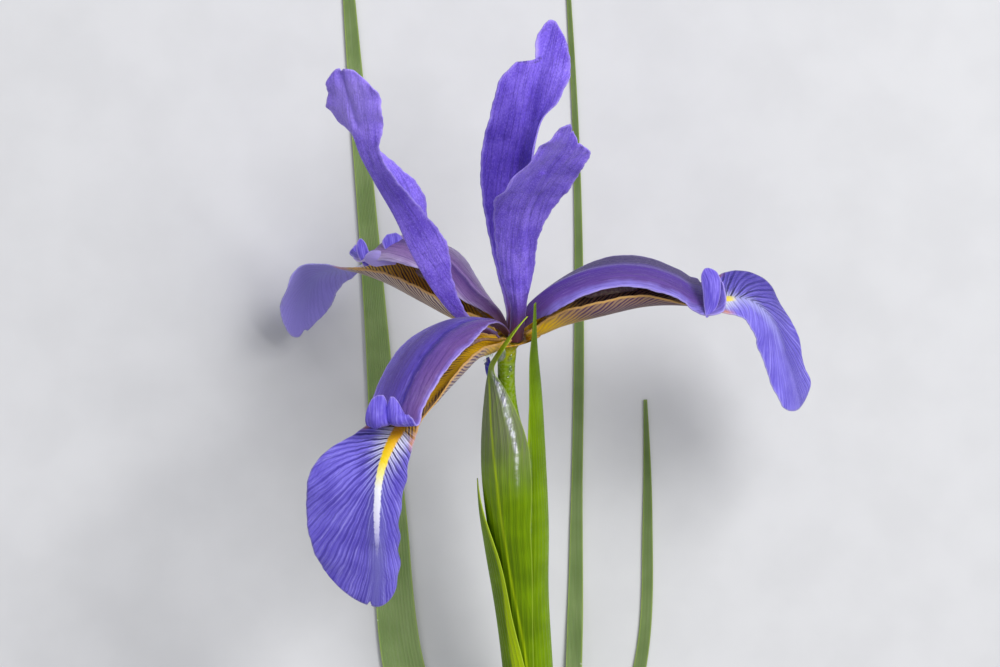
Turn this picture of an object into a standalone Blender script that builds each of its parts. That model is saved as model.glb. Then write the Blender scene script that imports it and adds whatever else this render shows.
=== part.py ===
"""A picked dutch iris lying on a table: one open flower, its spathe, stem and three strap leaves.

The flower is 118 mm wide. Every design point below is in millimetres from the base of the flower,
where the petals leave the perianth tube: x to the right and y towards the flower's top, as seen
from straight above, and z up from the table. FLOWER_BASE puts that point in the finished part.
"""
import math

import bmesh
import bpy
import numpy as np
from mathutils import Vector

MM = 0.001
FLOWER_BASE = (-7.63, 32.0, 56.01)

PETAL_THICKNESS = 0.7
BRACT_THICKNESS = 0.7
LEAF_THICKNESS = 0.7
ROWS_IN_A_SPAN = 2
PETAL_COLUMNS = 8
BRACT_COLUMNS = 8
LEAF_COLUMNS = 6

STEM_SIDES = 14
STAMEN_SIDES = 6
FILAMENT_RADIUS = 0.35
ANTHER_RADIUS = 0.75
ANTHER_SWELLS = (0.12, 0.5, 0.92)
BUD_SIDES = 8

# A blade is a petal, a style arm, a bract or a leaf. Each station along its rib gives the rib's
# place x, y, z, the way the upper face looks as three numbers, the width of the left and the right
# half, the angle in degrees at which both halves rise from the rib, and how many degrees the left
# and the right half bend over their width. Left and right are as seen on the upper face with the
# tip up.
FALLS = {
    "fall_right": [
        (3.2, 0.95, -0.15, -0.4, 0.85, 0.35, 1.0, 1.0, 10, 20, 20),
        (6.4, 1.7, -0.4, -0.35, 0.85, 0.35, 2.4, 2.4, 10, 60, 60),
        (10.5, 3.5, -0.8, -0.3, 0.87, 0.38, 5.0, 5.0, 5, 90, 90),
        (20.0, 6.1, -0.4, -0.2, 0.9, 0.4, 6.8, 6.8, 5, 92, 92),
        (30.0, 8.3, -1.6, -0.15, 0.91, 0.4, 6.2, 6.2, 3, 78, 78),
        (36.0, 8.8, -2.4, -0.08, 0.91, 0.4, 5.4, 5.2, 0, 55, 45),
        (41.5, 8.8, -3.2, 0.0, 0.91, 0.4, 4.8, 4.6, 0, 20, 15),
        (47.0, 9.2, -4.2, 0.15, 0.88, 0.45, 8.6, 5.0, 0, 20, -20),
        (52.5, 8.8, -5.5, 0.4, 0.78, 0.5, 11.0, 5.6, 0, 10, -35),
        (57.0, 4.8, -7.5, 0.72, 0.48, 0.48, 10.0, 7.0, 0, 0, -35),
        (59.8, -1.5, -10.0, 0.86, 0.28, 0.42, 9.3, 8.0, 0, 5, -30),
        (62.2, -8.0, -12.0, 0.9, 0.2, 0.42, 8.4, 8.0, 0, 5, -20),
        (63.9, -14.6, -14.0, 0.9, 0.2, 0.42, 9.4, 6.8, 0, 0, -15),
    ],
    "fall_front": [
        (-1.6, -0.4, 2.85, 0.2, 0.95, 0.1, 1.0, 1.0, 10, 20, 20),
        (-3.8, -1.9, 6.0, 0.2, 0.95, 0.1, 2.1, 2.1, 10, 50, 50),
        (-8.5, -3.6, 12.5, 0.15, 0.93, 0.15, 4.7, 4.7, 5, 85, 85),
        (-13.5, -8.0, 21.0, 0.1, 0.93, 0.25, 6.6, 6.6, 5, 92, 92),
        (-18.5, -13.0, 29.0, 0.1, 0.9, 0.4, 5.6, 6.0, 3, 78, 78),
        (-23.0, -17.6, 36.0, 0.0, 0.82, 0.57, 3.6, 5.6, 0, 20, 30),
        (-26.2, -22.5, 40.3, 0.0, 0.55, 0.83, 5.2, 8.4, 0, -55, -5),
        (-28.3, -28.5, 42.0, -0.05, 0.15, 0.98, 7.2, 14.4, 0, -70, -12),
        (-29.0, -36.0, 41.5, -0.08, -0.05, 0.99, 7.6, 15.9, 0, -95, -15),
        (-29.0, -44.0, 39.0, -0.08, -0.1, 0.98, 7.4, 14.5, 0, -100, -12),
        (-28.9, -51.0, 36.0, -0.08, -0.15, 0.98, 6.2, 12.0, 0, -85, -10),
        (-29.6, -57.4, 32.8, -0.08, -0.2, 0.98, 5.0, 9.6, 0, -60, -10),
    ],
    "fall_back": [
        (-2.2, 1.65, -1.85, 0.2, 0.9, 0.4, 1.0, 1.0, 10, 20, 20),
        (-4.8, 2.7, -4.4, 0.2, 0.9, 0.4, 2.4, 2.4, 10, 60, 60),
        (-10.0, 4.4, -9.0, 0.15, 0.9, 0.4, 5.0, 5.0, 5, 90, 80),
        (-18.5, 8.8, -17.0, 0.1, 0.93, 0.35, 6.4, 5.4, 5, 92, 80),
        (-27.0, 13.4, -25.5, 0.0, 0.93, 0.3, 5.6, 5.0, 3, 78, 70),
        (-34.0, 16.0, -32.5, -0.1, 0.93, 0.2, 4.5, 4.5, 0, 40, 40),
        (-39.0, 16.2, -38.0, -0.3, 0.7, -0.65, 6.5, 4.8, 0, -10, -10),
        (-44.0, 14.2, -43.0, -0.5, 0.35, -0.79, 8.8, 6.4, 0, -40, -40),
        (-46.8, 8.8, -46.5, -0.5, 0.15, -0.85, 7.4, 6.6, 0, -45, -45),
        (-48.0, 1.0, -49.0, -0.5, 0.1, -0.86, 5.0, 4.4, 0, -40, -40),
    ],
}
STANDARDS = {
    "standard_left": [
        (-2.95, 0.6, 0.8, 0.8, 0.5, 0.0, 1.0, 1.0, 10, 20, 20),
        (-7.0, 2.2, 2.3, 0.4, 0.9, 0.0, 1.6, 1.6, 25, 40, 40),
        (-12.0, 5.4, 4.4, 0.55, 0.8, 0.0, 2.8, 2.8, 40, 40, 40),
        (-16.8, 11.0, 7.8, 0.8, 0.5, -0.2, 5.0, 4.6, 45, 40, 40),
        (-21.3, 18.5, 11.5, 0.85, 0.45, -0.3, 8.2, 6.5, 45, 30, 40),
        (-25.8, 28.0, 16.5, 0.88, 0.4, 0.0, 6.8, 9.0, 50, 25, 25),
        (-29.8, 35.0, 20.3, 0.9, 0.35, 0.1, 6.0, 6.7, 45, 20, 15),
        (-33.1, 41.5, 23.8, 0.9, 0.3, -0.25, 5.8, 5.4, 30, 10, 10),
        (-34.7, 48.0, 27.0, 0.6, 0.25, -0.75, 7.6, 5.8, 12, 0, 0),
        (-35.4, 54.0, 30.0, 0.45, 0.2, -0.87, 6.9, 5.5, 10, 0, -10),
        (-36.0, 59.2, 32.5, 0.45, 0.15, -0.9, 3.8, 3.8, 10, 0, -10),
    ],
    "standard_back": [
        (1.1, 1.7, -2.1, -0.3, -0.4, 0.8, 1.0, 1.0, 10, 20, 20),
        (0.6, 6.0, -3.8, 0.0, 0.3, 0.95, 1.6, 1.6, 15, 40, 40),
        (0.0, 13.0, -4.2, 0.0, 0.0, 1.0, 3.0, 3.0, 20, 30, 30),
        (0.0, 21.0, -3.0, 0.0, -0.1, 1.0, 5.0, 5.0, 20, 20, 20),
        (0.8, 30.0, -1.0, 0.0, -0.1, 1.0, 7.6, 6.5, 20, 10, 40),
        (2.2, 40.0, 2.0, 0.0, -0.2, 0.97, 9.2, 5.4, 15, 0, 95),
        (4.2, 50.0, 4.0, 0.0, -0.2, 0.97, 8.8, 5.2, 15, -5, 80),
        (5.5, 56.0, 5.0, 0.1, -0.2, 0.97, 8.4, 6.7, 15, -10, 40),
        (6.7, 61.0, 5.7, 0.2, -0.2, 0.95, 4.8, 6.6, 12, -5, 10),
        (7.8, 66.0, 6.2, 0.2, -0.2, 0.95, 3.0, 4.8, 10, 0, 10),
        (8.9, 70.4, 7.0, 0.2, -0.2, 0.95, 2.4, 3.0, 10, 0, 0),
    ],
    "standard_front": [
        (1.3, -0.1, 2.9, -0.3, 0.6, -0.6, 1.0, 1.0, 10, 20, 20),
        (1.6, 5.5, 6.0, -0.1, 0.3, -0.9, 2.1, 1.7, 20, 40, 40),
        (1.2, 13.5, 11.0, -0.1, 0.4, -0.9, 4.6, 3.6, 15, 30, 30),
        (1.2, 21.5, 17.5, -0.1, 0.5, -0.85, 5.0, 4.8, 10, 10, 10),
        (2.5, 28.5, 24.5, -0.15, 0.6, -0.8, 6.5, 6.5, 5, 0, 0),
        (5.3, 34.2, 31.5, -0.2, 0.65, -0.75, 7.8, 8.9, 0, 0, -45),
        (9.0, 39.3, 38.0, -0.25, 0.65, -0.7, 8.0, 7.0, -5, 0, -20),
        (11.5, 42.4, 42.0, -0.25, 0.65, -0.7, 6.8, 6.2, -5, 0, 0),
        (13.2, 45.8, 45.5, -0.25, 0.65, -0.7, 4.6, 4.6, -5, 0, 0),
    ],
}
STYLE_ARMS = {
    "style_right": [
        (0.8, 1.5, 0.5, -1.0, 0.1, 0.2, 0.6, 0.6, 0, -20, -20),
        (2.6, 6.0, 2.4, -0.7, 0.65, 0.3, 1.8, 1.8, 0, -50, -50),
        (7.0, 10.5, 4.2, -0.5, 0.8, 0.35, 3.0, 5.0, 0, -30, -50),
        (14.0, 14.3, 5.0, -0.35, 0.85, 0.38, 4.2, 6.0, 0, -10, -48),
        (22.0, 16.3, 4.8, -0.1, 0.91, 0.4, 5.5, 6.2, 0, 5, -45),
        (30.0, 16.0, 3.2, 0.1, 0.91, 0.4, 6.2, 6.4, 0, 5, -45),
        (36.8, 13.6, 1.0, 0.3, 0.85, 0.4, 5.9, 6.8, 0, 0, -45),
        (40.6, 11.5, -0.4, 0.3, 0.85, 0.45, 5.5, 7.4, 0, 0, -35),
        (43.1, 11.2, -1.2, 0.0, 0.9, 0.4, 5.3, 8.2, 5, 0, -25),
        (44.9, 12.4, -1.8, -0.6, 0.75, 0.3, 5.0, 7.0, 10, 0, -10),
        (45.0, 15.6, -2.2, -0.95, 0.1, 0.2, 4.4, 4.8, 10, 0, 0),
    ],
    "style_front": [
        (-0.4, 1.1, 1.3, 0.5, 0.4, -0.8, 0.6, 0.6, 0, -20, -20),
        (-1.9, 3.6, 5.2, 0.4, 0.8, -0.5, 1.8, 1.8, 0, -50, -50),
        (-6.5, 5.0, 14.0, 0.3, 0.9, 0.0, 4.0, 4.0, 0, -40, -30),
        (-12.5, 3.0, 24.0, 0.1, 0.9, 0.35, 5.6, 6.6, 0, -35, -30),
        (-17.5, -1.5, 31.5, 0.0, 0.8, 0.55, 5.8, 7.8, 0, -35, -30),
        (-21.0, -7.0, 36.5, -0.1, 0.7, 0.7, 5.5, 8.0, 0, -30, -30),
        (-23.8, -13.2, 39.7, -0.1, 0.6, 0.8, 5.0, 7.0, 0, -20, -20),
        (-25.4, -17.9, 42.6, -0.1, 0.75, 0.65, 5.6, 5.6, 10, 0, 0),
        (-26.3, -17.6, 45.8, -0.1, 0.95, -0.2, 5.8, 5.2, 10, 0, 0),
        (-26.6, -13.2, 46.6, -0.1, 0.2, -0.9, 5.4, 5.0, 10, 0, 0),
    ],
    "style_back": [
        (-0.6, 1.6, 0.0, 0.65, -0.1, 0.7, 0.6, 0.6, 0, -20, -20),
        (-2.5, 6.0, -0.6, 0.55, 0.5, 0.6, 1.8, 1.8, 0, -50, -50),
        (-8.0, 11.0, -5.5, 0.4, 0.8, 0.45, 4.2, 4.5, 0, -40, -20),
        (-14.5, 18.0, -9.5, 0.3, 0.85, 0.4, 5.6, 6.2, 0, -40, 0),
        (-21.0, 21.5, -15.0, 0.1, 0.93, 0.35, 6.2, 6.8, 0, -40, 0),
        (-27.0, 22.4, -22.0, -0.15, 0.93, 0.3, 6.2, 6.2, 0, -30, 0),
        (-31.0, 20.0, -27.0, -0.15, 0.93, 0.25, 5.6, 5.6, 0, 0, 0),
        (-33.2, 20.0, -29.6, 0.3, 0.9, 0.35, 5.2, 5.2, 8, 0, 0),
        (-34.0, 22.8, -30.8, 0.7, 0.3, 0.65, 4.6, 4.6, 8, 0, 0),
    ],
}
BRACTS = {
    "spathe_main": [
        (0.8, -84.5, -34.8, 0.97, 0.1, -0.24, 6.3, 7.8, 0, 77, 95),
        (-1.1, -66.6, -27.7, 0.97, 0.1, -0.24, 8.0, 9.2, 0, 84, 95),
        (-4.2, -45.8, -18.2, 0.97, 0.1, -0.24, 11.2, 11.2, 0, 96, 95),
        (-6.2, -26.9, -9.7, 0.97, 0.1, -0.24, 11.8, 11.0, 0, 98, 90),
        (-5.6, -13.5, -4.2, 0.96, 0.0, -0.3, 8.2, 5.4, 0, 92, 60),
        (-5.0, -7.2, 0.4, 0.93, -0.1, -0.35, 3.2, 1.3, 10, 70, 20),
        (-4.6, -5.0, 4.6, 0.85, -0.4, -0.3, 1.4, 1.2, 20, 40, 30),
        (-3.7, -3.4, 8.6, 0.75, -0.6, -0.1, 0.9, 0.9, 20, 30, 30),
        (-2.3, -1.4, 11.6, 0.7, -0.7, 0.0, 0.8, 0.8, 20, 30, 30),
        (0.6, 1.6, 12.6, 0.7, -0.7, 0.0, 0.7, 0.7, 10, 20, 20),
        (4.8, 5.3, 13.0, 0.7, -0.7, 0.0, 0.4, 0.4, 0, 0, 0),
    ],
    "spathe_right": [
        (10.1, -88.0, -37.3, -1.0, 0.0, 0.0, 6.4, 6.2, 0, 80, 77),
        (9.15, -72.0, -31.4, -1.0, 0.0, 0.0, 6.4, 5.5, 0, 80, 68),
        (8.2, -55.0, -24.3, -1.0, 0.0, 0.0, 6.2, 5.8, 0, 76, 70),
        (8.2, -40.0, -17.5, -1.0, 0.0, 0.0, 5.5, 5.8, 0, 65, 70),
        (7.4, -25.0, -10.8, -0.95, 0.0, -0.2, 4.5, 5.0, 0, 55, 60),
        (6.3, -10.0, -3.8, -0.85, 0.0, -0.4, 3.2, 3.2, 5, 40, 40),
        (5.6, -2.0, 2.0, -0.8, 0.0, -0.5, 1.9, 1.9, 10, 30, 30),
        (5.4, 3.0, 6.3, -0.8, 0.0, -0.5, 1.0, 1.0, 10, 20, 20),
        (5.3, 8.5, 10.5, -0.8, 0.0, -0.5, 0.4, 0.4, 10, 0, 0),
    ],
    "spathe_outer": [
        (-0.2, -90.2, -37.5, 1.0, 0.0, -0.08, 8.2, 8.4, 0, 81, 83),
        (-1.3, -76.2, -32.5, 1.0, 0.0, -0.08, 8.5, 8.0, 0, 80, 75),
        (-3.2, -60.3, -26.0, 1.0, 0.0, -0.08, 7.1, 7.0, 0, 57, 56),
        (-5.7, -45.3, -19.3, 1.0, 0.0, -0.08, 6.6, 5.0, 0, 44, 33),
        (-6.9, -37.3, -15.8, 1.0, 0.0, -0.08, 4.0, 2.6, 0, 25, 16),
        (-7.4, -30.3, -12.7, 1.0, 0.0, -0.08, 0.5, 0.5, 0, 0, 0),
    ],
}
LEAVES = {
    "leaf_left": [
        (2.6, -168.0, -50.8, 1.0, 0.0, 0.0, 10.0, 10.0, 0, 120, 120),
        (2.5, -155.0, -50.7, 1.0, 0.0, 0.0, 8.4, 8.4, 0, 100, 100),
        (1.0, -141.0, -51.7, 0.85, 0.0, 0.5, 6.2, 6.2, 0, 50, 50),
        (-6.0, -123.0, -54.6, 0.4, 0.0, 0.92, 5.5, 5.5, 5, 22, 22),
        (-16.5, -98.5, -55.5, 0.1, 0.0, 1.0, 5.2, 5.2, 5, 15, 15),
        (-24.1, -73.0, -55.6, 0.0, 0.0, 1.0, 4.7, 4.7, 5, 10, 10),
        (-27.3, -38.0, -55.6, 0.0, 0.0, 1.0, 3.8, 3.8, 5, 10, 10),
        (-30.0, 0.0, -55.6, 0.0, 0.0, 1.0, 2.7, 2.7, 5, 10, 10),
        (-36.3, 76.0, -55.6, 0.0, 0.0, 1.0, 1.4, 1.4, 5, 10, 10),
        (-38.7, 108.0, -55.6, 0.0, 0.0, 1.0, 0.5, 0.5, 5, 0, 0),
    ],
    "leaf_middle": [
        (11.3, -119.0, -46.3, -1.0, 0.0, 0.0, 8.1, 8.1, 0, 100, 100),
        (11.2, -109.0, -44.0, -1.0, 0.0, 0.0, 6.5, 3.8, 0, 80, 45),
        (13.0, -93.0, -49.6, -0.7, 0.0, 0.7, 2.6, 2.6, 5, 40, 40),
        (14.0, -80.0, -53.7, -0.3, 0.0, 0.95, 2.0, 2.0, 5, 20, 20),
        (14.5, -63.0, -55.4, -0.1, 0.0, 1.0, 1.8, 1.8, 5, 15, 15),
        (14.8, -40.0, -55.6, 0.0, 0.0, 1.0, 1.6, 1.6, 5, 10, 10),
        (15.4, 5.0, -55.6, 0.0, 0.0, 1.0, 1.4, 1.4, 5, 10, 10),
        (14.8, 43.0, -55.6, 0.0, 0.0, 1.0, 1.1, 1.1, 5, 10, 10),
        (13.1, 77.0, -55.6, 0.0, 0.0, 1.0, 0.9, 0.9, 5, 10, 10),
        (10.9, 112.0, -55.6, 0.0, 0.0, 1.0, 0.4, 0.4, 5, 0, 0),
    ],
    "leaf_right": [
        (12.0, -139.0, -49.6, -1.0, 0.0, 0.0, 8.3, 8.3, 0, 100, 100),
        (11.9, -129.0, -48.2, -1.0, 0.0, 0.0, 6.7, 5.5, 0, 80, 65),
        (16.0, -113.0, -52.2, -0.6, 0.0, 0.8, 2.7, 2.7, 5, 30, 30),
        (23.5, -94.0, -55.2, -0.2, 0.0, 1.0, 1.9, 1.9, 5, 10, 10),
        (29.6, -70.0, -55.6, 0.0, 0.0, 1.0, 1.4, 1.4, 5, 10, 10),
        (30.8, -40.0, -55.6, 0.0, 0.0, 1.0, 1.1, 1.1, 5, 10, 10),
        (30.3, -13.0, -55.6, 0.0, 0.0, 1.0, 0.4, 0.4, 5, 0, 0),
    ],
}

# How much of its length a blade's corners are rounded back at the tip, as a share.
TIP_ROUNDING = {
    "fall_right": 0.05,
    "fall_front": 0.10,
    "fall_back": 0.14,
    "standard_left": 0.06,
    "standard_back": 0.05,
    "standard_front": 0.02,
    "style_right": 0.04,
    "style_front": 0.04,
    "style_back": 0.04,
}
ROUNDING_STARTS = 0.6

# Round pieces: x, y, z and radius at each station.
TUBE_AND_OVARY = [
    (0.0, 0.0, 0.0, 3.3),
    (0.0, -0.8, -0.36, 2.8),
    (-0.4, -2.2, -1.0, 2.2),
    (-0.8, -4.8, -2.1, 1.9),
    (-0.5, -11.0, -4.9, 1.9),
    (0.6, -18.0, -8.0, 2.4),
    (2.0, -30.0, -13.4, 3.2),
    (2.9, -45.0, -20.0, 3.0),
    (3.6, -56.5, -25.2, 2.6),
]
STEM = [
    (3.7, -57.0, -25.4, 2.6),
    (4.5, -71.0, -31.0, 3.4),
    (5.4, -86.0, -36.6, 3.6),
    (6.1, -102.0, -41.8, 3.7),
    (6.7, -118.0, -46.0, 3.7),
    (7.1, -134.0, -48.9, 3.7),
    (7.3, -150.0, -50.5, 3.6),
    (7.4, -164.0, -50.8, 3.6),
    (7.4, -176.0, -50.8, 3.6),
]
SECOND_BUD = [
    (-5.0, -3.8, -3.4, 0.25),
    (-3.6, -9.0, -6.0, 0.65),
    (-3.2, -16.0, -8.6, 0.95),
    (-3.2, -24.0, -11.8, 0.95),
    (-2.7, -32.0, -14.8, 0.5),
]

# Each stamen's path: a thin filament, then the long anther on the last stretch.
STAMENS = {
    "stamen_right": [
        (1.8, 0.65, 0.05),
        (3.0, 1.9, 0.35),
        (5.0, 2.9, 0.5),
        (10.0, 7.0, 1.6),
        (16.0, 10.2, 2.2),
        (28.0, 12.2, 1.6),
    ],
    "stamen_front": [
        (-0.9, -0.05, 1.65),
        (-1.5, 0.7, 3.1),
        (-2.8, 0.5, 5.4),
        (-6.5, 0.5, 12.0),
        (-10.5, -1.4, 18.0),
        (-16.5, -6.0, 27.5),
    ],
    "stamen_back": [
        (-1.2, 1.05, -0.95),
        (-2.0, 2.6, -1.3),
        (-3.8, 4.0, -2.6),
        (-8.0, 7.8, -6.2),
        (-12.0, 10.5, -9.3),
        (-21.0, 15.8, -17.4),
    ],
}

COLOURS = {
    "fall": (0.17, 0.13, 0.62),
    "standard": (0.16, 0.09, 0.58),
    "style": (0.20, 0.09, 0.42),
    "spathe": (0.22, 0.38, 0.01),
    "leaf": (0.17, 0.26, 0.09),
    "stem": (0.14, 0.30, 0.03),
    "ovary": (0.20, 0.38, 0.02),
    "second": (0.05, 0.04, 0.45),
    "stamen": (0.55, 0.45, 0.30),
}


def clear_scene():
    """Start from an empty scene."""
    for old in list(bpy.data.objects):
        bpy.data.objects.remove(old, do_unlink=True)


def make_material(name):
    """One Principled material, coloured for the kind of piece that its name starts with."""
    material = bpy.data.materials.new(name)
    material.use_nodes = True
    shader = material.node_tree.nodes["Principled BSDF"]
    kind = name.split("_")[0]
    shader.inputs["Base Color"].default_value = (*COLOURS[kind], 1.0)
    shader.inputs["Roughness"].default_value = 0.5
    shader.inputs["Metallic"].default_value = 0.0
    return material


def add_object(name, mesh):
    """Put a mesh in the scene under its node's name, smooth, with its own material."""
    mesh.materials.append(make_material(name))
    mesh.shade_smooth()
    piece = bpy.data.objects.new(name, mesh)
    bpy.context.scene.collection.objects.link(piece)
    return piece


def unit(vectors):
    """Vectors scaled to length one."""
    return vectors / np.linalg.norm(vectors, axis=-1, keepdims=True)


def rib_knots(stations):
    """Each station's share of the rib's length."""
    steps = np.linalg.norm(np.diff(stations[:, :3], axis=0), axis=1)
    knots = np.concatenate([[0.0], np.cumsum(steps)])
    return knots / knots[-1]


def read_rib(stations, t):
    """The smooth curve through the stations at t from 0 to 1, and its direction."""
    knots = rib_knots(stations)
    steps = np.diff(knots)[:, None]
    rise = np.diff(stations, axis=0) / steps
    slope = np.empty_like(stations)
    slope[1:-1] = (rise[:-1] * steps[1:] + rise[1:] * steps[:-1]) / (steps[1:] + steps[:-1])
    slope[0] = 1.5 * rise[0] - 0.5 * slope[1]
    slope[-1] = 1.5 * rise[-1] - 0.5 * slope[-2]
    i = np.clip(np.searchsorted(knots, t, side="right") - 1, 0, len(knots) - 2)
    span = (knots[i + 1] - knots[i])[..., None]
    u = (t - knots[i])[..., None] / span
    value = (
        (2 * u**3 - 3 * u**2 + 1) * stations[i]
        + (u**3 - 2 * u**2 + u) * span * slope[i]
        + (3 * u**2 - 2 * u**3) * stations[i + 1]
        + (u**3 - u**2) * span * slope[i + 1]
    )
    rate = (
        (6 * u**2 - 6 * u) * (stations[i] - stations[i + 1]) / span
        + (3 * u**2 - 4 * u + 1) * slope[i]
        + (3 * u**2 - 2 * u) * slope[i + 1]
    )
    return value, unit(rate[..., :3])


def blade_points(stations, t, s):
    """Points on a blade at t along the rib and s across it, -1 at the left edge and 1 at the right."""
    value, along = read_rib(stations, t)
    face = value[..., 3:6]
    face = unit(face - (face * along).sum(-1, keepdims=True) * along)
    left = np.cross(face, along)
    width = np.where(s < 0, value[..., 6], value[..., 7])
    keel = np.radians(value[..., 8])
    bend = np.radians(np.where(s < 0, value[..., 9], value[..., 10]))
    bend = np.where(np.abs(bend) < 0.001, 0.001, bend)
    turned = keel + bend * np.abs(s)
    out = width * (np.sin(turned) - np.sin(keel)) / bend
    lift = width * (np.cos(keel) - np.cos(turned)) / bend
    return value[..., :3] - left * (np.sign(s) * out)[..., None] + face * lift[..., None]


def blade_rows(stations, rounding, columns):
    """The grid of t and s for a blade, with its last rows pulled in to a round tip."""
    knots = rib_knots(stations)
    shares = np.arange(ROWS_IN_A_SPAN) / ROWS_IN_A_SPAN
    rows = [knots[i] + shares * (knots[i + 1] - knots[i]) for i in range(len(knots) - 1)]
    t = np.append(np.concatenate(rows), 1.0)[:, None]
    s = np.linspace(-1.0, 1.0, columns + 1)[None, :]
    end = 1.0 - rounding * (1.0 - np.sqrt(1.0 - np.clip(s, -0.99, 0.99) ** 2))
    pulled = ROUNDING_STARTS + (t - ROUNDING_STARTS) * (end - ROUNDING_STARTS) / (1.0 - ROUNDING_STARTS)
    return np.where(t < ROUNDING_STARTS, t, pulled), s + 0.0 * t


def make_blade(name, table, columns, thickness, rounding=0.0):
    """A thin curved blade of even thickness, split into triangles alike on both faces."""
    stations = np.array(table)
    t, s = blade_rows(stations, rounding, columns)
    points = (blade_points(stations, t, s) + np.array(FLOWER_BASE)) * MM
    shape = bmesh.new()
    grid = [[shape.verts.new(point) for point in row] for row in points]
    for lower, upper in zip(grid, grid[1:]):
        for j in range(columns):
            shape.faces.new((lower[j], lower[j + 1], upper[j + 1]))
            shape.faces.new((lower[j], upper[j + 1], upper[j]))
    mesh = bpy.data.meshes.new(name)
    shape.to_mesh(mesh)
    shape.free()
    piece = add_object(name, mesh)
    wall = piece.modifiers.new("Thickness", "SOLIDIFY")
    wall.thickness = thickness * MM
    wall.offset = 0.0
    return piece


def make_round(name, table, sides):
    """A solid of round sections along a curved line, closed by flat ends."""
    stations = np.array(table)
    knots = rib_knots(stations)
    middles = (knots[1:] + knots[:-1]) / 2
    t = np.sort(np.concatenate([knots, middles]))
    value, along = read_rib(stations, t)
    shape = bmesh.new()
    rings = []
    for row, direction in zip(value, along):
        centre = Vector((row[:3] + np.array(FLOWER_BASE)) * MM)
        axis = Vector(direction)
        across = Vector((1.0, 0.0, 0.0)).cross(axis).normalized()
        other = axis.cross(across)
        ring = []
        for k in range(sides):
            turn = 2 * math.pi * k / sides
            reach = across * math.cos(turn) + other * math.sin(turn)
            ring.append(shape.verts.new(centre + reach * row[3] * MM))
        rings.append(ring)
    for lower, upper in zip(rings, rings[1:]):
        for k in range(sides):
            after = (k + 1) % sides
            shape.faces.new((lower[k], lower[after], upper[after], upper[k]))
    shape.faces.new(list(reversed(rings[0])))
    shape.faces.new(rings[-1])
    mesh = bpy.data.meshes.new(name)
    shape.to_mesh(mesh)
    shape.free()
    return add_object(name, mesh)


def stamen_table(path):
    """A thin filament that swells into the long anther on the last stretch of its path."""
    table = [(*point, FILAMENT_RADIUS) for point in path]
    start = np.array(path[-2])
    end = np.array(path[-1])
    swell = [(*(start + (end - start) * share), ANTHER_RADIUS) for share in ANTHER_SWELLS]
    return table[:-1] + swell + table[-1:]


def main():
    clear_scene()
    for petals in (FALLS, STANDARDS, STYLE_ARMS):
        for name, table in petals.items():
            make_blade(name, table, PETAL_COLUMNS, PETAL_THICKNESS, TIP_ROUNDING[name])
    for name, table in BRACTS.items():
        make_blade(name, table, BRACT_COLUMNS, BRACT_THICKNESS)
    for name, table in LEAVES.items():
        make_blade(name, table, LEAF_COLUMNS, LEAF_THICKNESS)
    make_round("ovary_and_tube", TUBE_AND_OVARY, STEM_SIDES)
    make_round("stem", STEM, STEM_SIDES)
    make_round("second_bud", SECOND_BUD, BUD_SIDES)
    for name, path in STAMENS.items():
        make_round(name, stamen_table(path), STAMEN_SIDES)


main()
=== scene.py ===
"""A picked dutch iris lying on a table, with its petals, bracts and leaves finished for a close look.

Lengths in the tables are in millimetres from the base of the flower, where the petals leave the
perianth tube: x to the right, y towards the flower's top and z up from the table, as the flower is
seen from straight above. FLOWER_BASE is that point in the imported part.
"""
import logging
import math
from dataclasses import dataclass, field
from enum import Enum

import bpy
import numpy as np
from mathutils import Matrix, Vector


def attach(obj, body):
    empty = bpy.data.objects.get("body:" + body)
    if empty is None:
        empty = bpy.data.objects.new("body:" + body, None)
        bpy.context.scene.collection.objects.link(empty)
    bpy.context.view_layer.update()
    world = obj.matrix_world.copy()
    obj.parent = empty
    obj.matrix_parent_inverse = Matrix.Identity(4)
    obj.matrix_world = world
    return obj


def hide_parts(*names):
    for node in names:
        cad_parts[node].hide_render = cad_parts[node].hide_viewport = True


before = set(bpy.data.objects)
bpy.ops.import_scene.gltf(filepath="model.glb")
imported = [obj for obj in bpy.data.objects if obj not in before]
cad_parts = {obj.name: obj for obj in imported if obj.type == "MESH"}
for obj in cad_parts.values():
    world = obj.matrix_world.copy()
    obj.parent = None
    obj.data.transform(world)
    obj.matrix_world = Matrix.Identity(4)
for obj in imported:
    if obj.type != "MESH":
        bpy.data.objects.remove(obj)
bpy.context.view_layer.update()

log = logging.getLogger("dutch_iris")

MM = 0.001
FLOWER_BASE = np.array([-7.63, 32, 56.01])
BODY = "root"

Array = np.ndarray
Colour = tuple[float, float, float]
Station = tuple[float, ...]
Object = bpy.types.Object
Mesh = bpy.types.Mesh
Material = bpy.types.Material
Socket = bpy.types.NodeSocket


class Half(Enum):
    """A side of a blade, as seen on its upper face with the tip up."""

    LEFT = -1
    RIGHT = 1
    BOTH = 0


class Slot(Enum):
    """Names for the flower's groups of material."""

    FALL = "fall"
    STANDARD = "standard"
    STYLE = "style_arm"
    STAMEN = "stamen"
    SPATHE = "spathe"
    TUBE = "ovary_and_tube"
    BUD = "second_bud"
    STEM = "stem"
    LEAF = "leaf"


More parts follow.
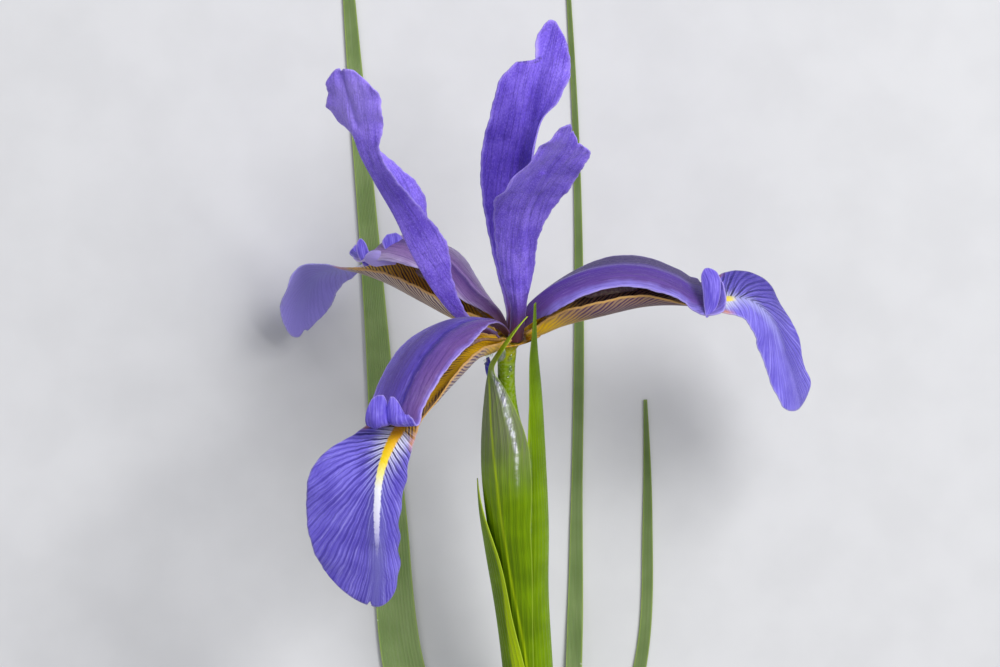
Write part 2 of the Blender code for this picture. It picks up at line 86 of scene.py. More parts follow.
# Each station along a blade's rib gives the rib's place x, y, z, the way the upper face looks as
# three numbers, the widths of the left and right halves, the angle at which both halves rise from
# the rib, and how many degrees the left and the right half bend over their width.
STATIONS = {
    # The falls.
    "fall_right": (
        (3.2, 0.95, -0.15, -0.4, 0.85, 0.35, 1, 1, 10, 20, 20),
        (6.4, 1.7, -0.4, -0.35, 0.85, 0.35, 2.4, 2.4, 10, 60, 60),
        (10.5, 3.5, -0.8, -0.3, 0.87, 0.38, 5, 5, 5, 90, 90),
        (20, 6.1, -0.4, -0.2, 0.9, 0.4, 6.8, 6.8, 5, 92, 92),
        (30, 8.3, -1.6, -0.15, 0.91, 0.4, 6.2, 6.2, 3, 78, 78),
        (36, 8.8, -2.4, -0.08, 0.91, 0.4, 5.4, 5.2, 0, 55, 45),
        (41.5, 8.8, -3.2, 0, 0.91, 0.4, 4.8, 4.6, 0, 20, 15),
        (47, 9.2, -4.2, 0.15, 0.88, 0.45, 8.6, 5, 0, 20, -20),
        (52.5, 8.8, -5.5, 0.4, 0.78, 0.5, 11, 5.6, 0, 10, -35),
        (57, 4.8, -7.5, 0.72, 0.48, 0.48, 10, 7, 0, 0, -35),
        (59.8, -1.5, -10, 0.86, 0.28, 0.42, 9.3, 8, 0, 5, -30),
        (62.2, -8, -12, 0.9, 0.2, 0.42, 8.4, 8, 0, 5, -20),
        (63.9, -14.6, -14, 0.9, 0.2, 0.42, 9.4, 6.8, 0, 0, -15),
    ),
    "fall_front": (
        (-1.6, -0.4, 2.85, 0.2, 0.95, 0.1, 1, 1, 10, 20, 20),
        (-3.8, -1.9, 6, 0.2, 0.95, 0.1, 2.1, 2.1, 10, 50, 50),
        (-8.5, -3.6, 12.5, 0.15, 0.93, 0.15, 4.7, 4.7, 5, 85, 85),
        (-13.5, -8, 21, 0.1, 0.93, 0.25, 6.6, 6.6, 5, 92, 92),
        (-18.5, -13, 29, 0.1, 0.9, 0.4, 5.6, 6, 3, 78, 78),
        (-23, -17.6, 36, 0, 0.82, 0.57, 3.6, 5.6, 0, 20, 30),
        (-26.2, -22.5, 40.3, 0, 0.55, 0.83, 5.2, 8.4, 0, -55, -5),
        (-28.3, -28.5, 42, -0.05, 0.15, 0.98, 7.2, 14.4, 0, -70, -12),
        (-29, -36, 41.5, -0.08, -0.05, 0.99, 7.6, 15.9, 0, -95, -15),
        (-29, -44, 39, -0.08, -0.1, 0.98, 7.4, 14.5, 0, -100, -12),
        (-28.9, -51, 36, -0.08, -0.15, 0.98, 6.2, 12, 0, -85, -10),
        (-29.6, -57.4, 32.8, -0.08, -0.2, 0.98, 5, 9.6, 0, -60, -10),
    ),
    "fall_back": (
        (-2.2, 1.65, -1.85, 0.2, 0.9, 0.4, 1, 1, 10, 20, 20),
        (-4.8, 2.7, -4.4, 0.2, 0.9, 0.4, 2.4, 2.4, 10, 60, 60),
        (-10, 4.4, -9, 0.15, 0.9, 0.4, 5, 5, 5, 90, 80),
        (-18.5, 8.8, -17, 0.1, 0.93, 0.35, 6.4, 5.4, 5, 92, 80),
        (-27, 13.4, -25.5, 0, 0.93, 0.3, 5.6, 5, 3, 78, 70),
        (-34, 16, -32.5, -0.1, 0.93, 0.2, 4.5, 4.5, 0, 40, 40),
        (-39, 16.2, -38, -0.3, 0.7, -0.65, 6.5, 4.8, 0, -10, -10),
        (-44, 14.2, -43, -0.5, 0.35, -0.79, 8.8, 6.4, 0, -40, -40),
        (-46.8, 8.8, -46.5, -0.5, 0.15, -0.85, 7.4, 6.6, 0, -45, -45),
        (-48, 1, -49, -0.5, 0.1, -0.86, 5, 4.4, 0, -40, -40),
    ),
    # The standards.
    "standard_left": (
        (-2.95, 0.6, 0.8, 0.8, 0.5, 0, 1, 1, 10, 20, 20), (-7, 2.2, 2.3, 0.4, 0.9, 0, 1.6, 1.6, 25, 40, 40),
        (-12, 5.4, 4.4, 0.55, 0.8, 0, 2.8, 2.8, 40, 40, 40),
        (-16.8, 11, 7.8, 0.8, 0.5, -0.2, 5, 4.6, 45, 40, 40),
        (-21.3, 18.5, 11.5, 0.85, 0.45, -0.3, 8.2, 6.5, 45, 30, 40),
        (-25.8, 28, 16.5, 0.88, 0.4, 0, 6.8, 9, 50, 25, 25),
        (-29.8, 35, 20.3, 0.9, 0.35, 0.1, 6, 6.7, 45, 20, 15),
        (-33.1, 41.5, 23.8, 0.9, 0.3, -0.25, 5.8, 5.4, 30, 10, 10),
        (-34.7, 48, 27, 0.6, 0.25, -0.75, 7.6, 5.8, 12, 0, 0),
        (-35.4, 54, 30, 0.45, 0.2, -0.87, 6.9, 5.5, 10, 0, -10),
        (-36, 59.2, 32.5, 0.45, 0.15, -0.9, 3.8, 3.8, 10, 0, -10),
    ),
    "standard_back": (
        (1.1, 1.7, -2.1, -0.3, -0.4, 0.8, 1, 1, 10, 20, 20),
        (0.6, 6, -3.8, 0, 0.3, 0.95, 1.6, 1.6, 15, 40, 40), (0, 13, -4.2, 0, 0, 1, 3, 3, 20, 30, 30),
        (0, 21, -3, 0, -0.1, 1, 5, 5, 20, 20, 20), (0.8, 30, -1, 0, -0.1, 1, 7.6, 6.5, 20, 10, 40),
        (2.2, 40, 2, 0, -0.2, 0.97, 9.2, 5.4, 15, 0, 95), (4.2, 50, 4, 0, -0.2, 0.97, 8.8, 5.2, 15, -5, 80),
        (5.5, 56, 5, 0.1, -0.2, 0.97, 8.4, 6.7, 15, -10, 40),
        (6.7, 61, 5.7, 0.2, -0.2, 0.95, 4.8, 6.6, 12, -5, 10),
        (7.8, 66, 6.2, 0.2, -0.2, 0.95, 3, 4.8, 10, 0, 10),
        (8.9, 70.4, 7, 0.2, -0.2, 0.95, 2.4, 3, 10, 0, 0),
    ),
    "standard_front": (
        (1.3, -0.1, 2.9, -0.3, 0.6, -0.6, 1, 1, 10, 20, 20),
        (1.6, 5.5, 6, -0.1, 0.3, -0.9, 2.1, 1.7, 20, 40, 40),
        (1.2, 13.5, 11, -0.1, 0.4, -0.9, 4.6, 3.6, 15, 30, 30),
        (1.2, 21.5, 17.5, -0.1, 0.5, -0.85, 5, 4.8, 10, 10, 10),
        (2.5, 28.5, 24.5, -0.15, 0.6, -0.8, 6.5, 6.5, 5, 0, 0),
        (5.3, 34.2, 31.5, -0.2, 0.65, -0.75, 7.8, 8.9, 0, 0, -45),
        (9, 39.3, 38, -0.25, 0.65, -0.7, 8, 7, -5, 0, -20),
        (11.5, 42.4, 42, -0.25, 0.65, -0.7, 6.8, 6.2, -5, 0, 0),
        (13.2, 45.8, 45.5, -0.25, 0.65, -0.7, 4.6, 4.6, -5, 0, 0),
    ),
    # The style arms.
    "style_right": (
        (0.8, 1.5, 0.5, -1, 0.1, 0.2, 0.6, 0.6, 0, -20, -20),
        (2.6, 6, 2.4, -0.7, 0.65, 0.3, 1.8, 1.8, 0, -50, -50),
        (7, 10.5, 4.2, -0.5, 0.8, 0.35, 3, 5, 0, -30, -50),
        (14, 14.3, 5, -0.35, 0.85, 0.38, 4.2, 6, 0, -10, -48),
        (22, 16.3, 4.8, -0.1, 0.91, 0.4, 5.5, 6.2, 0, 5, -45),
        (30, 16, 3.2, 0.1, 0.91, 0.4, 6.2, 6.4, 0, 5, -45),
        (36.8, 13.6, 1, 0.3, 0.85, 0.4, 5.9, 6.8, 0, 0, -45),
        (40.6, 11.5, -0.4, 0.3, 0.85, 0.45, 5.5, 7.4, 0, 0, -35),
        (43.1, 11.2, -1.2, 0, 0.9, 0.4, 5.3, 8.2, 5, 0, -25),
        (44.9, 12.4, -1.8, -0.6, 0.75, 0.3, 5, 7, 10, 0, -10),
        (45, 15.6, -2.2, -0.95, 0.1, 0.2, 4.4, 4.8, 10, 0, 0),
    ),
    "style_front": (
        (-0.4, 1.1, 1.3, 0.5, 0.4, -0.8, 0.6, 0.6, 0, -20, -20),
        (-1.9, 3.6, 5.2, 0.4, 0.8, -0.5, 1.8, 1.8, 0, -50, -50),
        (-6.5, 5, 14, 0.3, 0.9, 0, 4, 4, 0, -40, -30),
        (-12.5, 3, 24, 0.1, 0.9, 0.35, 5.6, 6.6, 0, -35, -30),
        (-17.5, -1.5, 31.5, 0, 0.8, 0.55, 5.8, 7.8, 0, -35, -30),
        (-21, -7, 36.5, -0.1, 0.7, 0.7, 5.5, 8, 0, -30, -30),
        (-23.8, -13.2, 39.7, -0.1, 0.6, 0.8, 5, 7, 0, -20, -20),
        (-25.4, -17.9, 42.6, -0.1, 0.75, 0.65, 5.6, 5.6, 10, 0, 0),
        (-26.3, -17.6, 45, -0.1, 0.95, -0.2, 5.8, 5.2, 10, 0, 0),
        (-26.6, -12, 44.7, -0.1, 0.2, -0.9, 5.4, 5, 10, 0, 0),
    ),
    "style_back": (
        (-0.6, 1.6, 0, 0.65, -0.1, 0.7, 0.6, 0.6, 0, -20, -20),
        (-2.5, 6, -0.6, 0.55, 0.5, 0.6, 1.8, 1.8, 0, -50, -50),
        (-8, 11, -5.5, 0.4, 0.8, 0.45, 4.2, 4.5, 0, -40, -20),
        (-14.5, 18, -9.5, 0.3, 0.85, 0.4, 5.6, 6.2, 0, -40, 0),
        (-21, 21.5, -15, 0.1, 0.93, 0.35, 6.2, 6.8, 0, -40, 0),
        (-27, 22.4, -22, -0.15, 0.93, 0.3, 6.2, 6.2, 0, -30, 0),
        (-31, 20, -27, -0.15, 0.93, 0.25, 5.6, 5.6, 0, 0, 0),
        (-33.2, 20, -29.6, 0.3, 0.9, 0.35, 5.2, 5.2, 8, 0, 0),
        (-34, 22.8, -30.8, 0.7, 0.3, 0.65, 4.6, 4.6, 8, 0, 0),
    ),
    # The bracts.
    "spathe_main": (
        (0.8, -84.5, -34.8, 0.97, 0.1, -0.24, 6.3, 7.8, 0, 77, 95),
        (-1.1, -66.6, -27.7, 0.97, 0.1, -0.24, 8, 9.2, 0, 84, 95),
        (-4.2, -45.8, -18.2, 0.97, 0.1, -0.24, 11.2, 11.2, 0, 96, 95),
        (-6.2, -26.9, -9.7, 0.97, 0.1, -0.24, 11.8, 11, 0, 98, 90),
        (-5.6, -13.5, -4.2, 0.96, 0, -0.3, 8.2, 5.4, 0, 92, 60),
        (-5, -7.2, 0.4, 0.93, -0.1, -0.35, 3.2, 1.3, 10, 70, 20),
        (-4.6, -5, 4.6, 0.85, -0.4, -0.3, 1.4, 1.2, 20, 40, 30),
        (-3.7, -3.4, 8.6, 0.75, -0.6, -0.1, 0.9, 0.9, 20, 30, 30),
        (-2.3, -1.4, 11.6, 0.7, -0.7, 0, 0.8, 0.8, 20, 30, 30),
        (0, 1.7, 12.6, 0.7, -0.7, 0, 0.75, 0.75, 10, 20, 20),
        (3.6, 5.6, 13, 0.7, -0.7, 0, 0.4, 0.4, 0, 0, 0),
    ),
    "spathe_right": (
        (10.1, -88, -37.3, -1, 0, 0, 6.4, 6.2, 0, 80, 77),
        (9.15, -72, -31.4, -1, 0, 0, 6.4, 5.5, 0, 80, 68), (8.2, -55, -24.3, -1, 0, 0, 6.2, 5.8, 0, 76, 70),
        (8.2, -40, -17.5, -1, 0, 0, 5.5, 5.8, 0, 65, 70),
        (7.4, -25, -10.8, -0.95, 0, -0.2, 4.5, 5, 0, 55, 60),
        (6.3, -10, -3.8, -0.85, 0, -0.4, 3.2, 3.2, 5, 40, 40),
        (5.6, -2, 2, -0.8, 0, -0.5, 1.9, 1.9, 10, 30, 30), (5.4, 3, 6.3, -0.8, 0, -0.5, 1, 1, 10, 20, 20),
        (5.3, 8.5, 10.5, -0.8, 0, -0.5, 0.4, 0.4, 10, 0, 0),
    ),
    "spathe_outer": (
        (-0.2, -90.2, -37.5, 1, 0, -0.08, 8.2, 8.4, 0, 81, 83),
        (-1.3, -76.2, -32.5, 1, 0, -0.08, 8.5, 8, 0, 80, 75),
        (-3.2, -60.3, -26, 1, 0, -0.08, 7.1, 7, 0, 57, 56),
        (-5.7, -45.3, -19.3, 1, 0, -0.08, 6.6, 5, 0, 44, 33),
        (-6.9, -37.3, -15.8, 1, 0, -0.08, 4, 2.6, 0, 25, 16),
        (-7.4, -30.3, -12.7, 1, 0, -0.08, 0.5, 0.5, 0, 0, 0),
    ),
    # The crests' small lobes and the large bract's second flap.
    "crest_right": (
        (42.9, 5.4, 5.3, 0.1, -0.1, 1, 0.2, 0.2, 0, 0, 0),
        (43.8, 8.2, 5.7, 0.1, -0.1, 1, 1.6, 1.7, -10, -25, -25),
        (44.1, 11.2, 5.6, 0.1, 0, 1, 2.1, 2.2, -10, -30, -30),
        (43.9, 13.7, 4.9, 0.1, 0.2, 1, 2.3, 2.4, -10, -30, -30),
        (43.2, 15.4, 4, 0, 0.4, 0.9, 1.6, 1.7, -5, -20, -20),
        (42.8, 16.2, 3.3, 0, 0.5, 0.8, 0.4, 0.4, 0, 0, 0),
    ),
    "crest_back_tall": (
        (-32, 16.9, -20, 0.1, 0.1, 1, 0.5, 0.5, 0, 0, 0),
        (-32.5, 18.8, -21.2, 0.1, 0.2, 1, 1.2, 1.3, -10, -30, -30),
        (-33, 20.8, -22.4, 0.1, 0.3, 1, 1.4, 1.4, -10, -30, -30),
        (-33.3, 22.2, -23.4, 0.1, 0.4, 0.9, 0.9, 0.9, -5, -20, -20),
        (-33.4, 22.9, -24, 0.1, 0.4, 0.9, 0.25, 0.25, 0, 0, 0),
    ),
    "crest_back_far": (
        (-25.6, 19.4, -15.6, 0, 0.5, 0.9, 1.3, 1.3, 0, 0, 0),
        (-25.9, 21.2, -16.8, 0, 0.5, 0.9, 2.2, 2.3, 0, -10, -10),
        (-26.2, 23, -18.2, 0, 0.5, 0.9, 2.3, 2.1, 0, -10, -10),
        (-26.5, 24, -19.2, 0, 0.5, 0.8, 1, 1, 0, 0, 0),
    ),
    "crest_back_pale": (
        (-25.4, 17.4, -15, 0, 0.2, 1, 0.3, 0.3, 0, 0, 0),
        (-28.2, 18.5, -15.4, 0, 0.2, 1, 1.7, 1.6, -10, -35, -35),
        (-30.4, 18.8, -16.6, -0.1, 0.2, 1, 2.2, 2, -10, -40, -40),
        (-31.9, 18.5, -18.2, -0.3, 0.2, 0.9, 1.4, 1.4, -5, -30, -30),
        (-32.4, 18.2, -19, -0.5, 0.2, 0.9, 0.4, 0.4, 0, 0, 0),
    ),
    "bract_flap": (
        (-2.9, -4.3, 8.2, 0.1, 0.1, 1, 0.2, 0.2, 0, 0, 0),
        (-2.1, -3.2, 9.2, 0.2, 0.1, 1, 0.55, 0.75, 0, 10, 10),
        (-1.7, -2.2, 10.2, 0.2, 0.1, 1, 0.5, 0.6, 0, 10, 10),
        (-1.9, -1.1, 11.2, 0.2, 0.1, 1, 0.15, 0.2, 0, 0, 0),
    ),
    # The leaves.
    "leaf_left": (
        (2.6, -168, -50.8, 1, 0, 0, 10, 10, 0, 120, 120),
        (2.5, -155, -50.7, 1, 0, 0, 8.4, 8.4, 0, 100, 100),
        (1, -141, -51.7, 0.85, 0, 0.5, 6.2, 6.2, 0, 50, 50),
        (-6, -123, -54.6, 0.4, 0, 0.92, 5.5, 5.5, 5, 22, 22),
        (-16.5, -98.5, -55.5, 0.1, 0, 1, 5.2, 5.2, 5, 15, 15),
        (-24.1, -73, -55.6, 0, 0, 1, 4.7, 4.7, 5, 10, 10),
        (-27.3, -38, -55.6, 0, 0, 1, 3.8, 3.8, 5, 10, 10), (-30, 0, -55.6, 0, 0, 1, 2.7, 2.7, 5, 10, 10),
        (-36.3, 76, -55.6, 0, 0, 1, 1.4, 1.4, 5, 10, 10), (-38.7, 108, -55.6, 0, 0, 1, 0.5, 0.5, 5, 0, 0),
    ),
    "leaf_middle": (
        (11.3, -119, -46.3, -1, 0, 0, 8.1, 8.1, 0, 100, 100),
        (11.2, -109, -44, -1, 0, 0, 6.5, 3.8, 0, 80, 45),
        (13, -93, -49.6, -0.7, 0, 0.7, 2.6, 2.6, 5, 40, 40),
        (14, -80, -53.7, -0.3, 0, 0.95, 2, 2, 5, 20, 20),
        (14.5, -63, -55.4, -0.1, 0, 1, 1.8, 1.8, 5, 15, 15),
        (14.8, -40, -55.6, 0, 0, 1, 1.6, 1.6, 5, 10, 10), (15.4, 5, -55.6, 0, 0, 1, 1.4, 1.4, 5, 10, 10),
        (14.8, 43, -55.6, 0, 0, 1, 1.1, 1.1, 5, 10, 10), (13.1, 77, -55.6, 0, 0, 1, 0.9, 0.9, 5, 10, 10),
        (10.9, 112, -55.6, 0, 0, 1, 0.4, 0.4, 5, 0, 0),
    ),
    "leaf_right": (
        (12, -139, -49.6, -1, 0, 0, 8.3, 8.3, 0, 100, 100),
        (11.9, -129, -48.2, -1, 0, 0, 6.7, 5.5, 0, 80, 65),
        (16, -113, -52.2, -0.6, 0, 0.8, 2.7, 2.7, 5, 30, 30),
        (23.5, -94, -55.2, -0.2, 0, 1, 1.9, 1.9, 5, 10, 10),
        (29.6, -70, -55.6, 0, 0, 1, 1.4, 1.4, 5, 10, 10), (30.8, -40, -55.6, 0, 0, 1, 1.1, 1.1, 5, 10, 10),
        (30.3, -13, -55.6, 0, 0, 1, 0.4, 0.4, 5, 0, 0),
    ),
}

# Round pieces: x, y, z and radius at each station.
TUBE = (
    (-0.3, 0.9, 0.4, 0.5), (-0.3, 0.6, 0.28, 1.7), (-0.4, 0.2, 0.08, 2.2), (-0.8, -0.8, -0.36, 2.1),
    (-0.9, -2.2, -1, 2.1), (-1, -4.8, -2.1, 1.95), (-0.9, -11, -4.9, 1.95), (-0.3, -16, -7.1, 2.1),
    (0.8, -22, -9.8, 2.6), (2, -30, -13.4, 3.2), (2.9, -45, -20, 3), (3.6, -56.5, -25.2, 2.6),
)
STEM = (
    (3.7, -57, -25.4, 2.6), (4.5, -71, -31, 3.4), (5.4, -86, -36.6, 3.6), (6.1, -102, -41.8, 3.7),
    (6.7, -118, -46, 3.7), (7.1, -134, -48.9, 3.7), (7.3, -150, -50.5, 3.6), (7.4, -164, -50.8, 3.6),
    (7.4, -176, -50.8, 3.6),
)
SECOND_BUD = (
    (-5.1, -3.4, -3.3, 0.35), (-5, -5.2, -4.2, 0.75), (-4, -9, -6, 0.85), (-3.2, -16, -8.6, 0.95),
    (-3.2, -24, -11.8, 0.95), (-2.7, -32, -14.8, 0.5),
)

# Each stamen's path: a thin filament, then the long anther on the last stretch.
STAMENS = {
    "stamen_right": (
        (1.8, 0.65, 0.05), (3, 1.9, 0.35), (5, 2.9, 0.5), (10, 7, 1.6), (16, 10.2, 2.2), (28, 12.2, 1.6)
    ),
    "stamen_front": (
        (-0.9, -0.05, 1.65), (-1.5, 0.7, 3.1), (-2.8, 0.5, 5.4), (-6.5, 0.5, 12), (-10.5, -1.4, 18),
        (-16.5, -6, 27.5),
    ),
    "stamen_back": (
        (-1.2, 1.05, -0.95), (-2, 2.6, -1.3), (-3.8, 4, -2.6), (-8, 7.8, -6.2), (-12, 10.5, -9.3),
        (-21, 15.8, -17.4),
    ),
}


def unit(vectors: Array) -> Array:
    """Scale vectors to length one.

    Args:
        vectors: Vectors along the last axis.

    Returns:
        The same vectors with length one.
    """
    return vectors / np.maximum(np.linalg.norm(vectors, axis=-1, keepdims=True), 1e-9)


def ease(value: Array, low: float, high: float) -> Array:
    """Rise smoothly from 0 at low to 1 at high.

    Args:
        value: Numbers to read.
        low: Where the result is still 0.
        high: Where the result has reached 1.

    Returns:
        Numbers from 0 to 1.
    """
    share = np.clip((value - low) / (high - low), 0.0, 1.0)
    return share * share * (3.0 - 2.0 * share)


def hump(value: Array, middle: float, reach: float) -> Array:
    """A soft hump of height 1.

    Args:
        value: Numbers to read.
        middle: Where the hump is highest.
        reach: How far from its middle it has fallen to about a third.

    Returns:
        Numbers from 0 to 1.
    """
    return np.exp(-(((value - middle) / reach) ** 2))


def span(value: Array, rise: tuple[float, float], fall: tuple[float, float]) -> Array:
    """Rise smoothly from 0 to 1 over one stretch and fall back to 0 over another.

    Args:
        value: Numbers to read.
        rise: Where the rise starts and ends.
        fall: Where the fall starts and ends.

    Returns:
        Numbers from 0 to 1.
    """
    return ease(value, *rise) * (1.0 - ease(value, *fall))


@dataclass(frozen=True)
class Rib:
    """A smooth curve through stations, read by its share of length from 0 to 1."""

    stations: Array

    @property
    def knots(self) -> Array:
        """Each station's share of the length."""
        steps = np.linalg.norm(np.diff(self.stations[:, :3], axis=0), axis=1)
        sums = np.concatenate([[0.0], np.cumsum(steps)])
        return sums / sums[-1]

    @property
    def length(self) -> float:
        """The length of the straight steps between the stations, in millimetres."""
        return float(np.linalg.norm(np.diff(self.stations[:, :3], axis=0), axis=1).sum())

    def read(self, t: Array) -> tuple[Array, Array]:
        """Read the stations' numbers and the curve's direction.

        Args:
            t: Shares of the length.

        Returns:
            The smoothed numbers, and the direction of the curve, at each t.
        """
        knots = self.knots
        steps = np.diff(knots)[:, None]
        rise = np.diff(self.stations, axis=0) / steps
        slope = np.empty_like(self.stations)
        slope[1:-1] = (rise[:-1] * steps[1:] + rise[1:] * steps[:-1]) / (steps[1:] + steps[:-1])
        slope[0] = 1.5 * rise[0] - 0.5 * slope[1]
        slope[-1] = 1.5 * rise[-1] - 0.5 * slope[-2]
        i = np.clip(np.searchsorted(knots, t, side="right") - 1, 0, len(knots) - 2)
        span = (knots[i + 1] - knots[i])[..., None]
        u = (t - knots[i])[..., None] / span
        first = self.stations[i]
        second = self.stations[i + 1]
        value = (
            (2 * u**3 - 3 * u**2 + 1) * first
            + (u**3 - 2 * u**2 + u) * span * slope[i]
            + (3 * u**2 - 2 * u**3) * second
            + (u**3 - u**2) * span * slope[i + 1]
        )
        rate = (
            (6 * u**2 - 6 * u) * (first - second) / span
            + (3 * u**2 - 4 * u + 1) * slope[i]
            + (3 * u**2 - 2 * u) * slope[i + 1]
        )
        return value, unit(rate[..., :3])


@dataclass(frozen=True)
class Fold:
    """A crease or a swelling along a line on a blade, in millimetres along and across."""

    start: tuple[float, float]
    end: tuple[float, float]
    width: float
    height: float

    def lift(self, along: Array, across: Array) -> Array:
        """How far the fold lifts each point.

        Args:
            along: Millimetres along the rib.
            across: Millimetres from the rib, positive to the right.

        Returns:
            Millimetres along the upper face's normal.
        """
        line = np.array(self.end) - np.array(self.start)
        reach = float(line @ line)
        share = ((along - self.start[0]) * line[0] + (across - self.start[1]) * line[1]) / reach
        share = np.clip(share, 0.0, 1.0)
        away = np.hypot(along - self.start[0] - share * line[0], across - self.start[1] - share * line[1])
        return self.height * np.exp(-((away / self.width) ** 2))


@dataclass(frozen=True)
class Ruffle:
    """Waves along a margin."""

    half: Half
    start: float
    end: float
    wave: float
    height: float
    reach: float
    phase: float = 0.0
    sway: float = 1.7
    sway_pace: float = 1.3

    def lift(self, along: Array, side: Array, edge: Array) -> Array:
        """How far the waves lift each point.

        Args:
            along: Millimetres along the rib.
            side: Place across the blade, -1 at the left margin and 1 at the right.
            edge: Millimetres from the margin.

        Returns:
            Millimetres along the upper face's normal.
        """
        rise, fall = ((place - self.wave, place + self.wave) for place in (self.start, self.end))
        turn = (
            2.0 * math.pi * along / self.wave
            + self.phase
            + self.sway * np.sin(along / self.wave * self.sway_pace)
        )
        near = np.exp(-edge / self.reach)
        if self.half is not Half.BOTH:
            near = near * (side * self.half.value > 0)
        return self.height * np.sin(turn) * span(along, rise, fall) * near


@dataclass(frozen=True)
class Spot:
    """A soft round place on a blade: a nick in its margin, a bulge or a shade."""

    along: float
    side: float
    reach_along: float
    reach_side: float
    amount: float

    def read(self, along: Array, side: Array) -> Array:
        """How strong the spot is at each point: its whole amount in the middle, less round it."""
        near = self.amount * hump(along, self.along, self.reach_along)
        return near * hump(side, self.side, self.reach_side)


Trim = tuple[tuple[float, float], ...]

# How a margin wanders: two waves, each with its height, its turns per millimetre and its shift.
WANDER_WAVES = ((1, 1.17, 1), (0.6, 2.9, 2))


@dataclass
class Sheet:
    """The points of one blade's middle surface, with what its finish needs to know of each."""

    points: Array
    normals: Array
    along: Array
    across: Array
    side: Array
    edge: Array
    length: float
    marks: dict[str, Array] = field(default_factory=dict)


